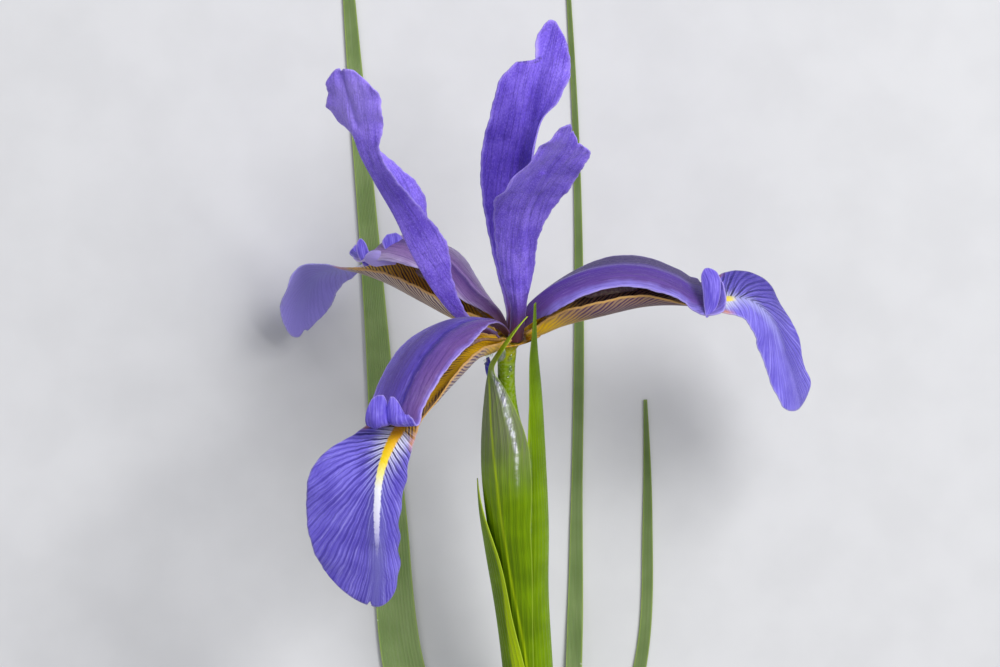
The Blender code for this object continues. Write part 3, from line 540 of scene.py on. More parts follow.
@dataclass(frozen=True)
class Blade:
    """A petal, style arm, bract or leaf: the stations of its name with the fine form on top."""

    name: str
    rounding: float = 0.0
    rounding_starts: float = 0.6
    thickness: float = 0.5
    margin: float = 0.2
    rows: int = 120
    columns: int = 48
    folds: tuple[Fold, ...] = ()
    ruffles: tuple[Ruffle, ...] = ()
    dents: tuple[Spot, ...] = ()
    swells: tuple[Spot, ...] = ()
    shades: tuple[Spot, ...] = ()
    trim_left: Trim = ()
    trim_right: Trim = ()
    tip: Trim = ()
    wander: float = 0.0
    pleats: int = 0
    pleat_height: float = 0.0
    pleats_start: tuple[float, float] = (0.04, 0.25)
    pleats_margin: float = 1.5
    tip_starts: float = 0.8
    least_width: float = 0.3
    full_thickness: float = 2.2

    @property
    def rib(self) -> Rib:
        """The curve that the blade hangs on."""
        return Rib(np.array(STATIONS[self.name], float))

    def place(self, t: Array, s: Array) -> Array:
        """Points on the plain blade.

        Args:
            t: Share of the rib's length.
            s: Place across, -1 at the left margin and 1 at the right.

        Returns:
            Points in millimetres from the flower's base.
        """
        value, along = self.rib.read(t)
        face = value[..., 3:6]
        face = unit(face - (face * along).sum(-1, keepdims=True) * along)
        left = np.cross(face, along)
        width = np.where(s < 0, value[..., 6], value[..., 7])
        keel = np.radians(value[..., 8])
        bend = np.radians(np.where(s < 0, value[..., 9], value[..., 10]))
        bend = np.where(np.abs(bend) < 0.001, 0.001, bend)
        turned = keel + bend * np.abs(s)
        out = width * (np.sin(turned) - np.sin(keel)) / bend
        lift = width * (np.cos(keel) - np.cos(turned)) / bend
        return value[..., :3] - left * (np.sign(s) * out)[..., None] + face * lift[..., None]

    def lay(self) -> Sheet:
        """Lay out the fine middle surface of the blade."""
        t = np.linspace(0.0, 1.0, self.rows)[:, None]
        side = np.linspace(-1.0, 1.0, self.columns)[None, :] + 0.0 * t
        starts = self.rounding_starts
        end = 1.0 - self.rounding * (1.0 - np.sqrt(1.0 - np.clip(side, -0.99, 0.99) ** 2))
        pulled = starts + (t - starts) * (end - starts) / (1.0 - starts)
        t = np.where(t < starts, t + 0.0 * side, pulled)
        length = self.rib.length
        laid = t * length
        along = laid + self.trim(self.tip, side) * ease(t, self.tip_starts, 1.0)
        for dent in self.dents:
            along = along - dent.read(laid, side)
        t = np.clip(along / length, 0.0, 1.0)
        value, forward = self.rib.read(t)
        width = np.where(side < 0, value[..., 6], value[..., 7])
        extra = np.where(side < 0, self.trim(self.trim_left, laid), self.trim(self.trim_right, laid))
        for height, turns, shift in WANDER_WAVES:
            extra = extra + self.wander * height * np.sin(laid * turns + shift * side)
        s = side * (1.0 + extra / np.maximum(width, self.least_width))
        across = s * width
        edge = (1.0 - np.abs(side)) * (width + extra)
        points = self.place(t, s) + forward * np.maximum(along - length, 0.0)[..., None]
        lift = np.zeros_like(along)
        for fold in self.folds:
            lift = lift + fold.lift(along, across)
        for ruffle in self.ruffles:
            lift = lift + ruffle.lift(along, side, edge)
        for swell in self.swells:
            lift = lift + swell.read(along, side)
        if self.pleats:
            fade = ease(t, *self.pleats_start) * np.minimum(1.0, edge / self.pleats_margin)
            lift = lift + self.pleat_height * np.cos(math.pi * self.pleats * side) * fade
        points = points + self.normals(points) * lift[..., None]
        rim = np.minimum(edge, length * (1.0 - np.arange(self.rows) / (self.rows - 1.0))[:, None])
        sheet = Sheet(points, self.normals(points), along, across, side, rim, length)
        shade = sum((spot.read(laid, side) for spot in self.shades), 0.0 * laid)
        sheet.marks["shade"] = np.clip(shade, -1.0, 1.0)
        return sheet

    @staticmethod
    def trim(table: Trim, along: Array) -> Array:
        """Extra width in millimetres, read from a table of place along and width."""
        if not table:
            return np.zeros_like(along)
        places, widths = zip(*table)
        return np.interp(along, places, widths)

    @staticmethod
    def normals(points: Array) -> Array:
        """Normals of the upper face of a grid of points."""
        up = np.gradient(points, axis=0)
        right = np.gradient(points, axis=1)
        return unit(np.cross(right, up))

    def solid(self, sheet: Sheet) -> Object:
        """Give the middle surface its two faces and its rim.

        Args:
            sheet: The blade's laid out surface.

        Returns:
            A closed, smooth piece with the sheet's numbers as attributes.
        """
        share = np.clip(sheet.edge / self.full_thickness, 0.0, 1.0)
        wall = self.margin + (self.thickness - self.margin) * np.sqrt(share)
        offset = sheet.normals * (wall / 2.0)[..., None]
        layers = np.stack([sheet.points + offset, sheet.points - offset])
        rows, columns = sheet.along.shape
        index = np.arange(2 * rows * columns).reshape(2, rows, columns)
        top = index[0]
        low = index[1]
        faces = [
            quads(top[:-1, :-1], top[:-1, 1:], top[1:, 1:], top[1:, :-1]),
            quads(low[:-1, :-1], low[1:, :-1], low[1:, 1:], low[:-1, 1:]),
            quads(top[0, :-1], low[0, :-1], low[0, 1:], top[0, 1:]),
            quads(top[-1, :-1], top[-1, 1:], low[-1, 1:], low[-1, :-1]),
            quads(top[:-1, 0], top[1:, 0], low[1:, 0], low[:-1, 0]),
            quads(top[:-1, -1], low[:-1, -1], low[1:, -1], top[1:, -1]),
        ]
        marks = {
            "along": sheet.along, "across": sheet.across, "side": sheet.side, "edge": sheet.edge,
            **sheet.marks,
        }
        doubled = {name: np.concatenate([mark.ravel(), mark.ravel()]) for name, mark in marks.items()}
        doubled["upper"] = np.repeat([1.0, 0.0], rows * columns)
        return make_piece(self.name, layers.reshape(-1, 3), np.concatenate(faces), doubled)


def quads(a: Array, b: Array, c: Array, d: Array) -> Array:
    """Faces from four equal arrays of point numbers."""
    return np.stack([a.ravel(), b.ravel(), c.ravel(), d.ravel()], axis=1)


def keep_marks(mesh: Mesh, marks: dict[str, Array]) -> None:
    """Keep numbers on a mesh's points, as attributes."""
    for name, values in marks.items():
        layer = mesh.attributes.new(name, "FLOAT", "POINT")
        layer.data.foreach_set("value", np.asarray(values, np.float32))


def make_piece(name: str, points: Array, faces: Array | list, marks: dict[str, Array]) -> Object:
    """Make a smooth mesh object in the part's frame.

    Args:
        name: The piece's name.
        points: Points in millimetres from the flower's base.
        faces: The point numbers of each face.
        marks: Numbers for each point, kept as attributes.

    Returns:
        The object, at the origin, with its place in its mesh.
    """
    mesh = bpy.data.meshes.new(name)
    mesh.from_pydata(((points + FLOWER_BASE) * MM).tolist(), [], [list(face) for face in faces])
    keep_marks(mesh, marks)
    mesh.shade_smooth()
    mesh.update()
    piece = bpy.data.objects.new(name, mesh)
    bpy.context.scene.collection.objects.link(piece)
    return piece


def dress(piece: Object, material: Material, nodes: tuple[str, ...] = ()) -> Object:
    """Give a piece its material and its place in the frame.

    Args:
        piece: The finished piece.
        material: Its finish.
        nodes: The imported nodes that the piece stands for.

    Returns:
        The same piece.
    """
    piece.data.materials.clear()
    piece.data.materials.append(material)
    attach(piece, BODY)
    if nodes:
        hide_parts(*nodes)
    log.info("%s: %d faces", piece.name, len(piece.data.polygons))
    return piece


@dataclass(frozen=True)
class Wire:
    """A node's output, which lays another math node wherever it is reckoned with."""

    book: "Book"
    socket: Socket

    def __add__(self, other: "Value") -> "Wire":
        """The sum."""
        return self.book.math("ADD", self, other)

    def __sub__(self, other: "Value") -> "Wire":
        """The difference."""
        return self.book.math("SUBTRACT", self, other)

    def __rsub__(self, other: float) -> "Wire":
        """The difference from a plain number."""
        return self.book.math("SUBTRACT", other, self)

    def __mul__(self, other: "Value") -> "Wire":
        """The product."""
        return self.book.math("MULTIPLY", self, other)

    def __truediv__(self, other: "Value") -> "Wire":
        """The quotient."""
        return self.book.math("DIVIDE", self, other)

    def __abs__(self) -> "Wire":
        """The size without its sign."""
        return self.book.math("ABSOLUTE", self)


Value = Wire | float
Coat = tuple[Value, object]


class Book:
    """One material and a short way to lay out its nodes."""

    def __init__(self, name: str) -> None:
        """Start a material with its shader and output.

        Args:
            name: The material's name.
        """
        self.material = bpy.data.materials.new(name)
        self.material.use_nodes = True
        self.tree = self.material.node_tree
        self.shader = self.tree.nodes["Principled BSDF"]

    def feed(self, target: Socket, value: object) -> None:
        """Link a socket, or set it when the value is plain."""
        if isinstance(value, Wire):
            self.tree.links.new(value.socket, target)
        elif isinstance(value, tuple) and len(value) == 3 and target.type == "RGBA":
            target.default_value = (*value, 1.0)
        else:
            target.default_value = value

    def node(
        self, kind: str, inputs: dict[int | str, object], output: int | str = 0, **settings: object
    ) -> Wire:
        """Add a node.

        Args:
            kind: The node's type.
            inputs: What feeds its inputs, by place or name.
            output: The output to take.
            settings: The node's properties.

        Returns:
            The chosen output.
        """
        node = self.tree.nodes.new("ShaderNode" + kind)
        for name, value in settings.items():
            setattr(node, name, value)
        for key, value in inputs.items():
            self.feed(node.inputs[key], value)
        return Wire(self, node.outputs[output])

    def mark(self, name: str) -> Wire:
        """A piece's own attribute, as a number."""
        return self.node("Attribute", {}, "Fac", attribute_name=name)

    def place(self) -> Wire:
        """The point in the part's frame, in metres."""
        return self.node("TexCoord", {}, "Object")

    def vector(self, x: Value, y: Value, z: Value = 0.0) -> Wire:
        """A vector from three numbers."""
        return self.node("CombineXYZ", {0: x, 1: y, 2: z})

    def math(self, operation: str, first: Value, second: Value = 0.0) -> Wire:
        """One step of arithmetic."""
        return self.node("Math", {0: first, 1: second}, operation=operation)

    def ease(self, value: Value, low: Value, high: Value, start: float = 0.0, end: float = 1.0) -> Wire:
        """Rise smoothly from start at low to end at high."""
        inputs = {0: value, 1: low, 2: high, 3: start, 4: end}
        return self.node("MapRange", inputs, interpolation_type="SMOOTHSTEP", clamp=True)

    def fade(self, value: Value, low: Value, high: Value, start: float = 1.0) -> Wire:
        """Fall smoothly from start at low to 0 at high."""
        return self.ease(value, low, high, start, 0.0)

    def noise(self, vector: Wire, scale: float, detail: float = 2.0, rough: float = 0.5) -> Wire:
        """Soft noise about 0.5."""
        inputs = {"Vector": vector, "Scale": scale, "Detail": detail, "Roughness": rough}
        return self.node("TexNoise", inputs, "Fac", noise_dimensions="3D")

    def blend(self, factor: Value, first: object, second: object, mode: str = "MIX") -> Wire:
        """Mix two colours."""
        return self.node("Mix", {0: factor, 6: first, 7: second}, 2, data_type="RGBA", blend_type=mode)

    def coats(self, colour: object, *coats: Coat) -> Wire:
        """Lay coats over a colour.

        Args:
            colour: The ground.
            coats: How much each coat covers, from 0 to 1, and its colour, in the order of laying.

        Returns:
            The colour on top.
        """
        for cover, paint in coats:
            colour = self.blend(cover, colour, paint)
        return colour

    def ramp(self, value: Wire, stops: tuple[tuple[float, Colour], ...]) -> Wire:
        """Read a colour from stops at places from 0 to 1."""
        colour = self.node("ValToRGB", {0: value})
        points = colour.socket.node.color_ramp.elements
        while len(points) < len(stops):
            points.new(0.5)
        for point, (place, paint) in zip(points, stops):
            point.position = place
            point.color = (*paint, 1.0)
        return colour

    def lines(self, coordinate: Wire, width: Value, soft: float) -> Wire:
        """Lines at every whole number of a coordinate, 1 on the line and 0 between."""
        return self.strands(coordinate, None, width, soft)

    def strands(self, coordinate: Wire, pitch: Value | None, width: Value, soft: float) -> Wire:
        """Lines at every whole number of a coordinate, with their width and softness in millimetres.

        Args:
            coordinate: Rises by 1 from one line to the next.
            pitch: Millimetres from one line to the next, or None for widths as shares of the pitch.
            width: Half the line's width.
            soft: How far it fades out past that.

        Returns:
            1 on a line and 0 between.
        """
        away = self.math("PINGPONG", coordinate, 0.5)
        return self.fade(away if pitch is None else away * pitch, width, width + soft)

    def threads(self, vector: Wire, width: float, detail: float = 2.0) -> Wire:
        """Loose uneven lines where soft noise crosses its middle value."""
        return self.fade(abs(self.noise(vector, 1.0, detail) - 0.5), 0.0, width)

    def shaded(self, colour: Wire) -> Wire:
        """Darken a petal's colour where its shade is above 0 and lighten it where it is below."""
        shade = self.mark("shade")
        dark = self.blend(self.math("MAXIMUM", shade, 0.0), colour, SHADE_TINT, "MULTIPLY")
        return self.blend(self.math("MAXIMUM", shade * -1.0, 0.0), dark, LIGHT_TINT)

    def close(
        self, colour: Wire, grain: Wire, gloss: tuple[float, float], height: Wire, depth: float,
        **uniform: object,
    ) -> Material:
        """Feed the shader.

        Args:
            colour: The base colour.
            grain: Soft noise that the roughness follows.
            gloss: The lowest and the highest roughness.
            height: What the bump reads.
            depth: The bump's depth in metres.
            uniform: Other shader inputs, by name with underscores for spaces.

        Returns:
            The finished material.
        """
        bump = self.node("Bump", {"Strength": 1.0, "Distance": depth, "Height": height})
        inputs = {"Base Color": colour, "Roughness": self.ease(grain, 0.3, 0.7, *gloss), "Normal": bump}
        inputs.update({name.replace("_", " "): value for name, value in uniform.items()})
        for name, value in inputs.items():
            self.feed(self.shader.inputs[name], value)
        return self.material


# What a petal's colour is multiplied by in full shade, and what it turns to in full light.
SHADE_TINT = (0.36, 0.3, 0.48)
LIGHT_TINT = (0.52, 0.42, 0.98)


def tint(red: float, green: float, blue: float) -> Colour:
    """A colour seen on a screen, 0 to 255, as the shader's own numbers."""
    return tuple(((part / 255.0 + 0.055) / 1.055) ** 2.4 for part in (red, green, blue))


# How wide the signal is along the blade, where each millimetre counts 0.02 and the blade starts at 0.2.
SIGNAL_WIDTHS = ((0, 0.8), (0.19, 0.64), (0.27, 0.5), (0.36, 0.38), (0.58, 0.3), (0.72, 0.18), (0.84, 0.04))

# How every petal shines.
PETAL_GLOSS = {
    "Specular_IOR_Level": 0.3, "Sheen_Weight": 0.12, "Sheen_Roughness": 0.4, "Sheen_Tint": (0.72, 0.68, 1),
    "Subsurface_Weight": 0.12, "Subsurface_Radius": (0.0012, 0.0010, 0.0014), "Subsurface_Scale": 1,
}


@dataclass(frozen=True)
class FallFinish:
    """A fall: golden haft with dark slanting veins, yellow signal, pale ground, blue veined blade."""

    name: str = "fall_skin"
    blade: Colour = tint(130, 118, 230)
    blade_deep: Colour = tint(100, 86, 200)
    under: Colour = tint(160, 148, 232)
    ground: Colour = tint(236, 238, 248)
    pale: Colour = tint(176, 176, 238)
    vein: Colour = tint(70, 56, 166)
    vein_dark: Colour = tint(28, 20, 78)

    def make(self) -> Material:
        """Lay out the material."""
        book = Book(self.name)
        place = book.place()
        across = book.mark("across")
        reach = book.mark("reach")
        upper = book.mark("upper")
        edge = book.mark("edge")
        grain = book.noise(place, 1500.0, 3.0)
        cloud = book.noise(place, 160.0, 2.0)
        drift = book.noise(place, 260.0, 2.0) - 0.5
        veins, streak = self.veins(book, drift)
        colour = self.blade_ground(book, veins, streak, cloud, upper)
        colour = book.blend(
            self.signal(book, reach, across, grain, upper), colour, self.signal_colour(book)
        )
        haft, haft_veins = self.haft(book, cloud, drift, upper)
        on_blade = book.ease(drift * 4.0 + reach, -2.5, 1.5)
        colour = book.blend(on_blade, haft, colour)
        gold = book.fade(edge, 0.4, 1.5, 0.8) * book.fade(reach, 0.5, 3.5)
        colour = book.blend(gold * on_blade, colour, tint(212, 140, 36))
        light = book.fade(edge, 0.05, 0.4, 0.3) * on_blade
        colour = book.shaded(book.blend(light, colour, tint(206, 200, 250)))
        height = haft_veins * 0.5 - veins * 0.8 + grain
        return book.close(colour, grain, (0.42, 0.58), height, 0.00007, **PETAL_GLOSS)

    def veins(self, book: Book, drift: Wire) -> tuple[Wire, Wire]:
        """The blade's forking veins, and soft streaks that run with them."""
        pitch = book.mark("pitch")
        radius = book.mark("radius")
        fan = book.mark("fan") + drift * 0.8 / pitch
        weight = book.noise(book.vector(fan * 0.9, radius * 0.08), 1.0)
        veins = book.strands(fan, pitch, book.ease(weight, 0.3, 0.65, 0.02, 0.16), 0.2)
        fork = fan + book.ease(pitch, 1.0, 1.8, 0.0, 0.5)
        second = book.strands(fork, pitch, 0.02, 0.2)
        twig = fan * 2.0 + book.ease(pitch, 1.6, 2.6, 0.0, 0.5)
        third = book.strands(twig, pitch * 0.5, 0.0, 0.2)
        veins = book.math("MAXIMUM", book.math("MAXIMUM", veins, second * 0.75), third * 0.5)
        veins = veins * book.ease(weight, 0.2, 0.6, 0.5, 1.0) * book.mark("bold")
        run = book.vector(fan * 2.6, radius * 0.08)
        return veins, book.noise(run, 1.0, 4.0, 0.7)

    def blade_ground(self, book: Book, veins: Wire, streak: Wire, cloud: Wire, upper: Wire) -> Wire:
        """The blade's colour with its veins, pale near its base and along its midline."""
        off = abs(book.mark("across"))
        far = book.mark("paling")
        top = book.blend(book.ease(cloud, 0.3, 0.7), self.blade_deep, self.blade)
        top = book.coats(
            top, (book.ease(streak, 0.42, 0.7, 0.0, 0.6), self.blade_deep),
            (book.fade(streak, 0.3, 0.48, 0.5), tint(168, 160, 246)),
        )
        half = book.mark("pitch") * 0.5
        ray = book.strands(book.mark("fan") * 2.0 + 0.5, half, 0.0, 0.17)
        top = book.blend(ray * book.ease(streak, 0.35, 0.6, 0.45, 0.1), top, tint(172, 162, 246))
        colour = book.blend(upper, self.under, top)
        near = far * 0.12 + streak * 6.0 + off
        pale = book.fade(near, 3.6, 8.6) * book.fade(far, 10.0, 30.0, 0.95)
        halo = book.fade(streak * 3.5 + off, 1.8, 4.6)
        pale = book.math("MAXIMUM", pale, halo * book.fade(far, 22.0, 56.0, 0.9))
        pale = pale * book.ease(upper, 0.0, 1.0, 0.35, 1.0)
        colour = book.blend(pale, colour, book.blend(book.ease(far, 3.0, 13.0), self.ground, self.pale))
        ink = book.blend(book.ease(book.mark("radius"), 4.0, 13.0), self.vein_dark, self.vein)
        strength = book.ease(book.mark("radius"), 3.0, 26.0, 1.0, 0.7)
        strength = strength * book.ease(upper, 0.0, 1.0, 0.4, 1.0)
        return book.blend(veins * strength, colour, ink)

    def signal(self, book: Book, reach: Wire, across: Wire, grain: Wire, upper: Wire) -> Wire:
        """Where the signal and the white line that runs out of it lie."""
        width = book.ramp(reach * 0.02 + 0.2, tuple((place, (grey,) * 3) for place, grey in SIGNAL_WIDTHS))
        away = abs(across + (grain * 0.5 - 0.25))
        share = away / (width * 2.1)
        strip = book.fade(share, 0.7, 1.15)
        fade = book.fade(grain * 4.0 + book.mark("fade"), 22.0, 33.0)
        return strip * fade * upper

    @staticmethod
    def signal_colour(book: Book) -> Wire:
        """Orange at the haft, then yellow, then white."""
        return book.ramp(
            book.mark("tone") * 0.02 + 0.2,
            (
                (0.05, tint(176, 112, 8)), (0.2, tint(212, 146, 6)), (0.28, tint(230, 180, 4)),
                (0.36, tint(244, 214, 24)), (0.42, tint(246, 236, 150)), (0.48, tint(242, 242, 252)),
                (0.85, tint(186, 180, 244)),
            ),
        )

    def haft(self, book: Book, cloud: Wire, drift: Wire, upper: Wire) -> tuple[Wire, Wire]:
        """The haft's colour on both faces, and where its veins are."""
        along = book.mark("along")
        off = abs(book.mark("across"))
        slant = drift * 1.6 + along * 0.72 - off * 1.25
        weight = book.noise(book.vector(slant * 0.9, off * 0.2), 1.0)
        width = book.ease(weight, 0.35, 0.65, 0.1, 0.22)
        veins = book.lines(slant, width, 0.14)
        veins = veins * book.ease(weight, 0.3, 0.6, 0.6, 1.0) * book.ease(off, 0.4, 1.4)
        share = off * 0.15
        brown = book.ramp(
            share,
            (
                (0.05, tint(150, 104, 24)), (0.3, tint(128, 92, 56)), (0.6, tint(120, 84, 68)),
                (0.95, tint(124, 90, 78)),
            ),
        )
        golden = book.ramp(
            share, ((0.05, tint(234, 184, 8)), (0.5, tint(216, 166, 16)), (0.95, tint(190, 146, 44)))
        )
        inside = book.blend(book.mark("gold"), brown, golden)
        outside = book.ramp(
            share,
            (
                (0.05, tint(178, 140, 58)), (0.2, tint(146, 114, 74)), (0.55, tint(138, 112, 106)),
                (0.95, tint(160, 130, 100)),
            ),
        )
        outside = book.blend(book.mark("gold") * 0.7, outside, tint(222, 204, 176))
        base = drift * 6.0 + off * 1.6 + along
        gilt = book.fade(base, 10.0, 24.0)
        colour = book.blend(upper, outside, inside)
        colour = book.coats(
            colour, (gilt, tint(224, 178, 0)), (book.ease(cloud, 0.35, 0.7, 0.0, 0.2), tint(150, 100, 30))
        )
        ink = book.blend(upper, tint(70, 38, 84), tint(40, 16, 30))
        strength = veins * (0.95 - gilt * 0.75)
        colour = book.coats(
            colour, (strength, ink), (book.fade(book.mark("edge"), 0.25, 0.6, 0.85), tint(212, 164, 88))
        )
        return colour, veins


@dataclass(frozen=True)
class StandardFinish:
    """A standard: blue-violet with fine streaks and darker flecks, red-brown where it starts."""

    name: str = "standard_skin"
    light: Colour = tint(152, 124, 252)
    deep: Colour = tint(122, 92, 228)
    vein: Colour = tint(84, 60, 180)

    def make(self) -> Material:
        """Lay out the material."""
        book = Book(self.name)
        place = book.place()
        along = book.mark("along")
        across = book.mark("across")
        grain = book.noise(place, 1600.0, 3.0)
        cloud = book.noise(place, 150.0, 3.0)
        streak = book.noise(book.vector(across * 2.4, along * 0.22), 1.0, 4.0, 0.7)
        threads = book.threads(book.vector(across * 0.8, along * 0.035, 3.7), 0.03, 3.0)
        flecks = book.ease(book.noise(place, 520.0, 3.0, 0.6), 0.54, 0.68)
        grit = book.noise(book.vector(across * 4.0, along * 2.0), 1.0, 3.0)
        colour = book.blend(book.ease(cloud, 0.35, 0.65), self.deep, self.light)
        colour = book.coats(
            colour, (book.ease(streak, 0.46, 0.72, 0.0, 0.42), self.vein),
            (book.fade(streak, 0.28, 0.45, 0.3), tint(176, 156, 255)),
            (book.ease(grit, 0.5, 0.68, 0.0, 0.4), self.vein),
            (book.fade(grit, 0.34, 0.48, 0.45), tint(178, 158, 255)), (threads * 0.3, self.vein),
            (flecks * 0.35, tint(86, 56, 176)),
        )
        colour = book.shaded(colour)
        colour = book.coats(
            colour, (book.fade(along, 5.0, 15.0, 0.75), tint(84, 44, 104)),
            (book.fade(along, 1.5, 8.0, 0.9), tint(96, 46, 34)),
            (book.fade(book.mark("edge"), 0.05, 0.7, 0.35), tint(186, 170, 250)),
        )
        height = streak * 1.6 - threads * 0.8 + grain
        return book.close(colour, grain, (0.45, 0.6), height, 0.0001, **PETAL_GLOSS)


@dataclass(frozen=True)
class StyleFinish:
    """A style arm: long bands of violet and mauve from one margin to the other, and a blue crest."""

    name: str
    bands: tuple[tuple[float, Colour], ...]
    crest_starts: float
    crest: Colour = tint(140, 124, 236)

    def make(self) -> Material:
        """Lay out the material."""
        book = Book(self.name)
        place = book.place()
        along = book.mark("along")
        across = book.mark("across")
        upper = book.mark("upper")
        grain = book.noise(place, 1600.0, 3.0)
        drift = book.noise(place, 260.0, 2.0) - 0.5
        streak = book.noise(book.vector(across * 2.4, along * 0.16), 1.0, 4.0, 0.65)
        threads = book.threads(book.vector(across * 1.0, along * 0.03, 1.3), 0.035, 3.0)
        step = (drift * 0.3 + book.mark("side")) * 0.5 + 0.5
        colour = book.ramp(step, self.bands)
        colour = book.coats(
            colour, (book.ease(streak, 0.42, 0.75, 0.0, 0.5), tint(70, 42, 120)),
            (book.fade(streak, 0.25, 0.42, 0.3), tint(176, 150, 220)), (threads * 0.35, tint(66, 36, 116)),
            (book.fade(upper, 0.0, 1.0, 0.35), tint(178, 158, 204)),
        )
        crest = book.blend(book.ease(streak, 0.35, 0.6), self.crest, tint(96, 78, 200))
        crest = book.blend(
            book.ease(book.noise(place, 200.0, 2.0), 0.4, 0.7, 0.0, 0.4), crest, tint(86, 70, 190)
        )
        on_crest = book.ease(along, self.crest_starts, self.crest_starts + 3.5)
        colour = book.coats(colour, (on_crest, crest), (book.mark("pale"), tint(186, 168, 236)))
        colour = book.shaded(colour)
        colour = book.coats(
            colour, (book.fade(along, 5.0, 17.0, 0.7), tint(88, 50, 104)),
            (book.fade(along, 1.0, 8.0, 0.8), tint(104, 58, 44)),
        )
        glint = book.fade(book.mark("edge"), 0.05, 0.5, 0.4) * book.ease(along, 10.0, 20.0)
        colour = book.blend(glint, colour, tint(196, 180, 246))
        height = streak * 1.4 - threads * 0.6 + grain
        return book.close(colour, grain, (0.42, 0.58), height, 0.00009, **PETAL_GLOSS)


@dataclass(frozen=True)
class BladeGreenFinish:
    """A bract or a leaf: green with long veins, and a papery silvery zone with a painted gloss highlight
    where the blade has one.
    """

    name: str
    light: Colour
    deep: Colour
    vein: Colour
    ribs: float
    papery: bool = False
    contrast: float = 0.15
    shine: float = 0.3
    bloom: float = 0.0
    gloss: float = 0.4

    def make(self) -> Material:
        """Lay out the material."""
        book = Book(self.name)
        place = book.place()
        along = book.mark("along")
        side = book.mark("side")
        grain = book.noise(place, 1300.0, 3.0)
        cloud = book.noise(place, 90.0, 2.0)
        streak = book.noise(book.vector(book.mark("across") * 3.0, along * 0.08), 1.0, 3.0, 0.6)
        drift = book.noise(place, 60.0, 2.0) - 0.5
        ribs = drift * 0.5 + side * self.ribs
        veins = book.lines(ribs, 0.08, 0.22)
        fine = book.lines(ribs * 4.0, 0.1, 0.35)
        threads = book.threads(book.vector(book.mark("across") * 1.3, along * 0.012), 0.04, 3.0)
        colour = book.blend(book.ease(cloud, 0.3, 0.7), self.deep, self.light)
        colour = book.coats(
            colour, (book.ease(streak, 0.35, 0.75, 0.0, 0.5), self.deep),
            (veins * self.contrast, self.vein), (fine * (self.contrast * 0.7), self.vein),
            (threads * self.contrast, self.deep),
        )
        if self.bloom:
            speck = book.ease(book.noise(place, 700.0, 1.0), 0.8, 0.84)
            colour = book.coats(
                colour, (speck, tint(214, 222, 200)),
                (book.fade(streak, 0.25, 0.5, self.bloom), tint(150, 170, 136)),
            )
        if self.papery:
            dusk = book.blend(fine * 0.4, tint(128, 128, 104), tint(104, 96, 118))
            colour = book.blend(book.mark("dusk") * book.ease(streak, 0.3, 0.7, 0.6, 1.0), colour, dusk)
            blotch = book.ease(book.noise(place, 900.0, 2.0), 0.4, 0.6, 1.0, 0.35)
            # The silvery streak: partly the papery membrane's own colour, partly a painted gloss highlight,
            # near white where the streak noise is high.
            silver = book.blend(book.ease(streak, 0.45, 0.65), tint(246, 248, 250), tint(134, 132, 160))
            colour = book.coats(
                colour, (book.mark("silver") * blotch, silver), (book.mark("midrib"), tint(184, 210, 16))
            )
        colour = book.blend(book.fade(book.mark("edge"), 0.05, 0.35, 0.3), colour, tint(196, 220, 90))
        height = veins * 1.2 + fine * 0.5 + grain * 0.5
        return book.close(
            colour, grain, (self.gloss - 0.06, self.gloss + 0.08), height, 0.00007,
            Specular_IOR_Level=self.shine, Subsurface_Weight=0.1,
            Subsurface_Radius=(0.0006, 0.0014, 0.0003), Subsurface_Scale=1.0, Coat_Weight=0.04,
            Coat_Roughness=0.25,
        )


@dataclass(frozen=True)
class RoundFinish:
    """A round piece: long stripes round it and a colour that changes along it."""

    name: str
    stops: tuple[tuple[float, Colour], ...]
    stripe: Colour
    stripes: float = 14.0
    strength: float = 0.3
    gloss: float = 0.4
    shine: float = 0.25
    depth: float = 0.00006

    def make(self) -> Material:
        """Lay out the material."""
        book = Book(self.name)
        place = book.place()
        grain = book.noise(place, 1500.0, 3.0)
        cloud = book.noise(place, 120.0, 2.0)
        turn = book.math("ARCTAN2", book.mark("turn_y"), book.mark("turn_x"))
        rounds = turn * (self.stripes / (2.0 * math.pi))
        stripe = book.lines(rounds, 0.08, 0.3)
        fine = book.lines(rounds * 4.0, 0.1, 0.35)
        share = cloud * 0.06 + book.mark("share")
        colour = book.ramp(share, self.stops)
        colour = book.coats(
            colour, (stripe * self.strength, self.stripe), (fine * (self.strength * 0.4), self.stripe),
            (book.ease(grain, 0.4, 0.75, 0.0, 0.2), tint(226, 232, 190)),
        )
        height = stripe * 0.8 + grain * 0.7
        return book.close(
            colour, grain, (self.gloss - 0.06, self.gloss + 0.1), height, self.depth,
            Specular_IOR_Level=self.shine, Subsurface_Weight=0.08,
            Subsurface_Radius=(0.0006, 0.0012, 0.0003), Subsurface_Scale=1.0,
        )


@dataclass(frozen=True)
class PlainFinish:
    """One even colour with soft flecks: pollen, water or the floor."""

    name: str
    colours: tuple[Colour, Colour]
    gloss: tuple[float, float]
    scale: float
    detail: float
    depth: float
    flecks: tuple[float, float] = (0.3, 0.7)
    extras: tuple[tuple[str, float], ...] = ()

    def make(self) -> Material:
        """Lay out the material."""
        book = Book(self.name)
        fleck = book.noise(book.place(), self.scale, self.detail)
        colour = book.blend(book.ease(fleck, *self.flecks), *self.colours)
        return book.close(colour, fleck, self.gloss, fleck, self.depth, **dict(self.extras))


POLLEN = PlainFinish(
    "pollen_grains", (tint(138, 104, 84), tint(176, 144, 110)), (0.5, 0.7), 2600, 2, 0.00004, (0.35, 0.65)
)
WATER = PlainFinish(
    "water_drop", (tint(226, 240, 214), tint(246, 250, 244)), (0.02, 0.05), 700, 1, 0.00001,
    extras=(("Transmission_Weight", 0.9), ("IOR", 1.33)),
)
FLOOR = PlainFinish("pale_floor", (tint(214, 214, 216), tint(219, 219, 221)), (0.7, 0.8), 60, 3, 0.00005)


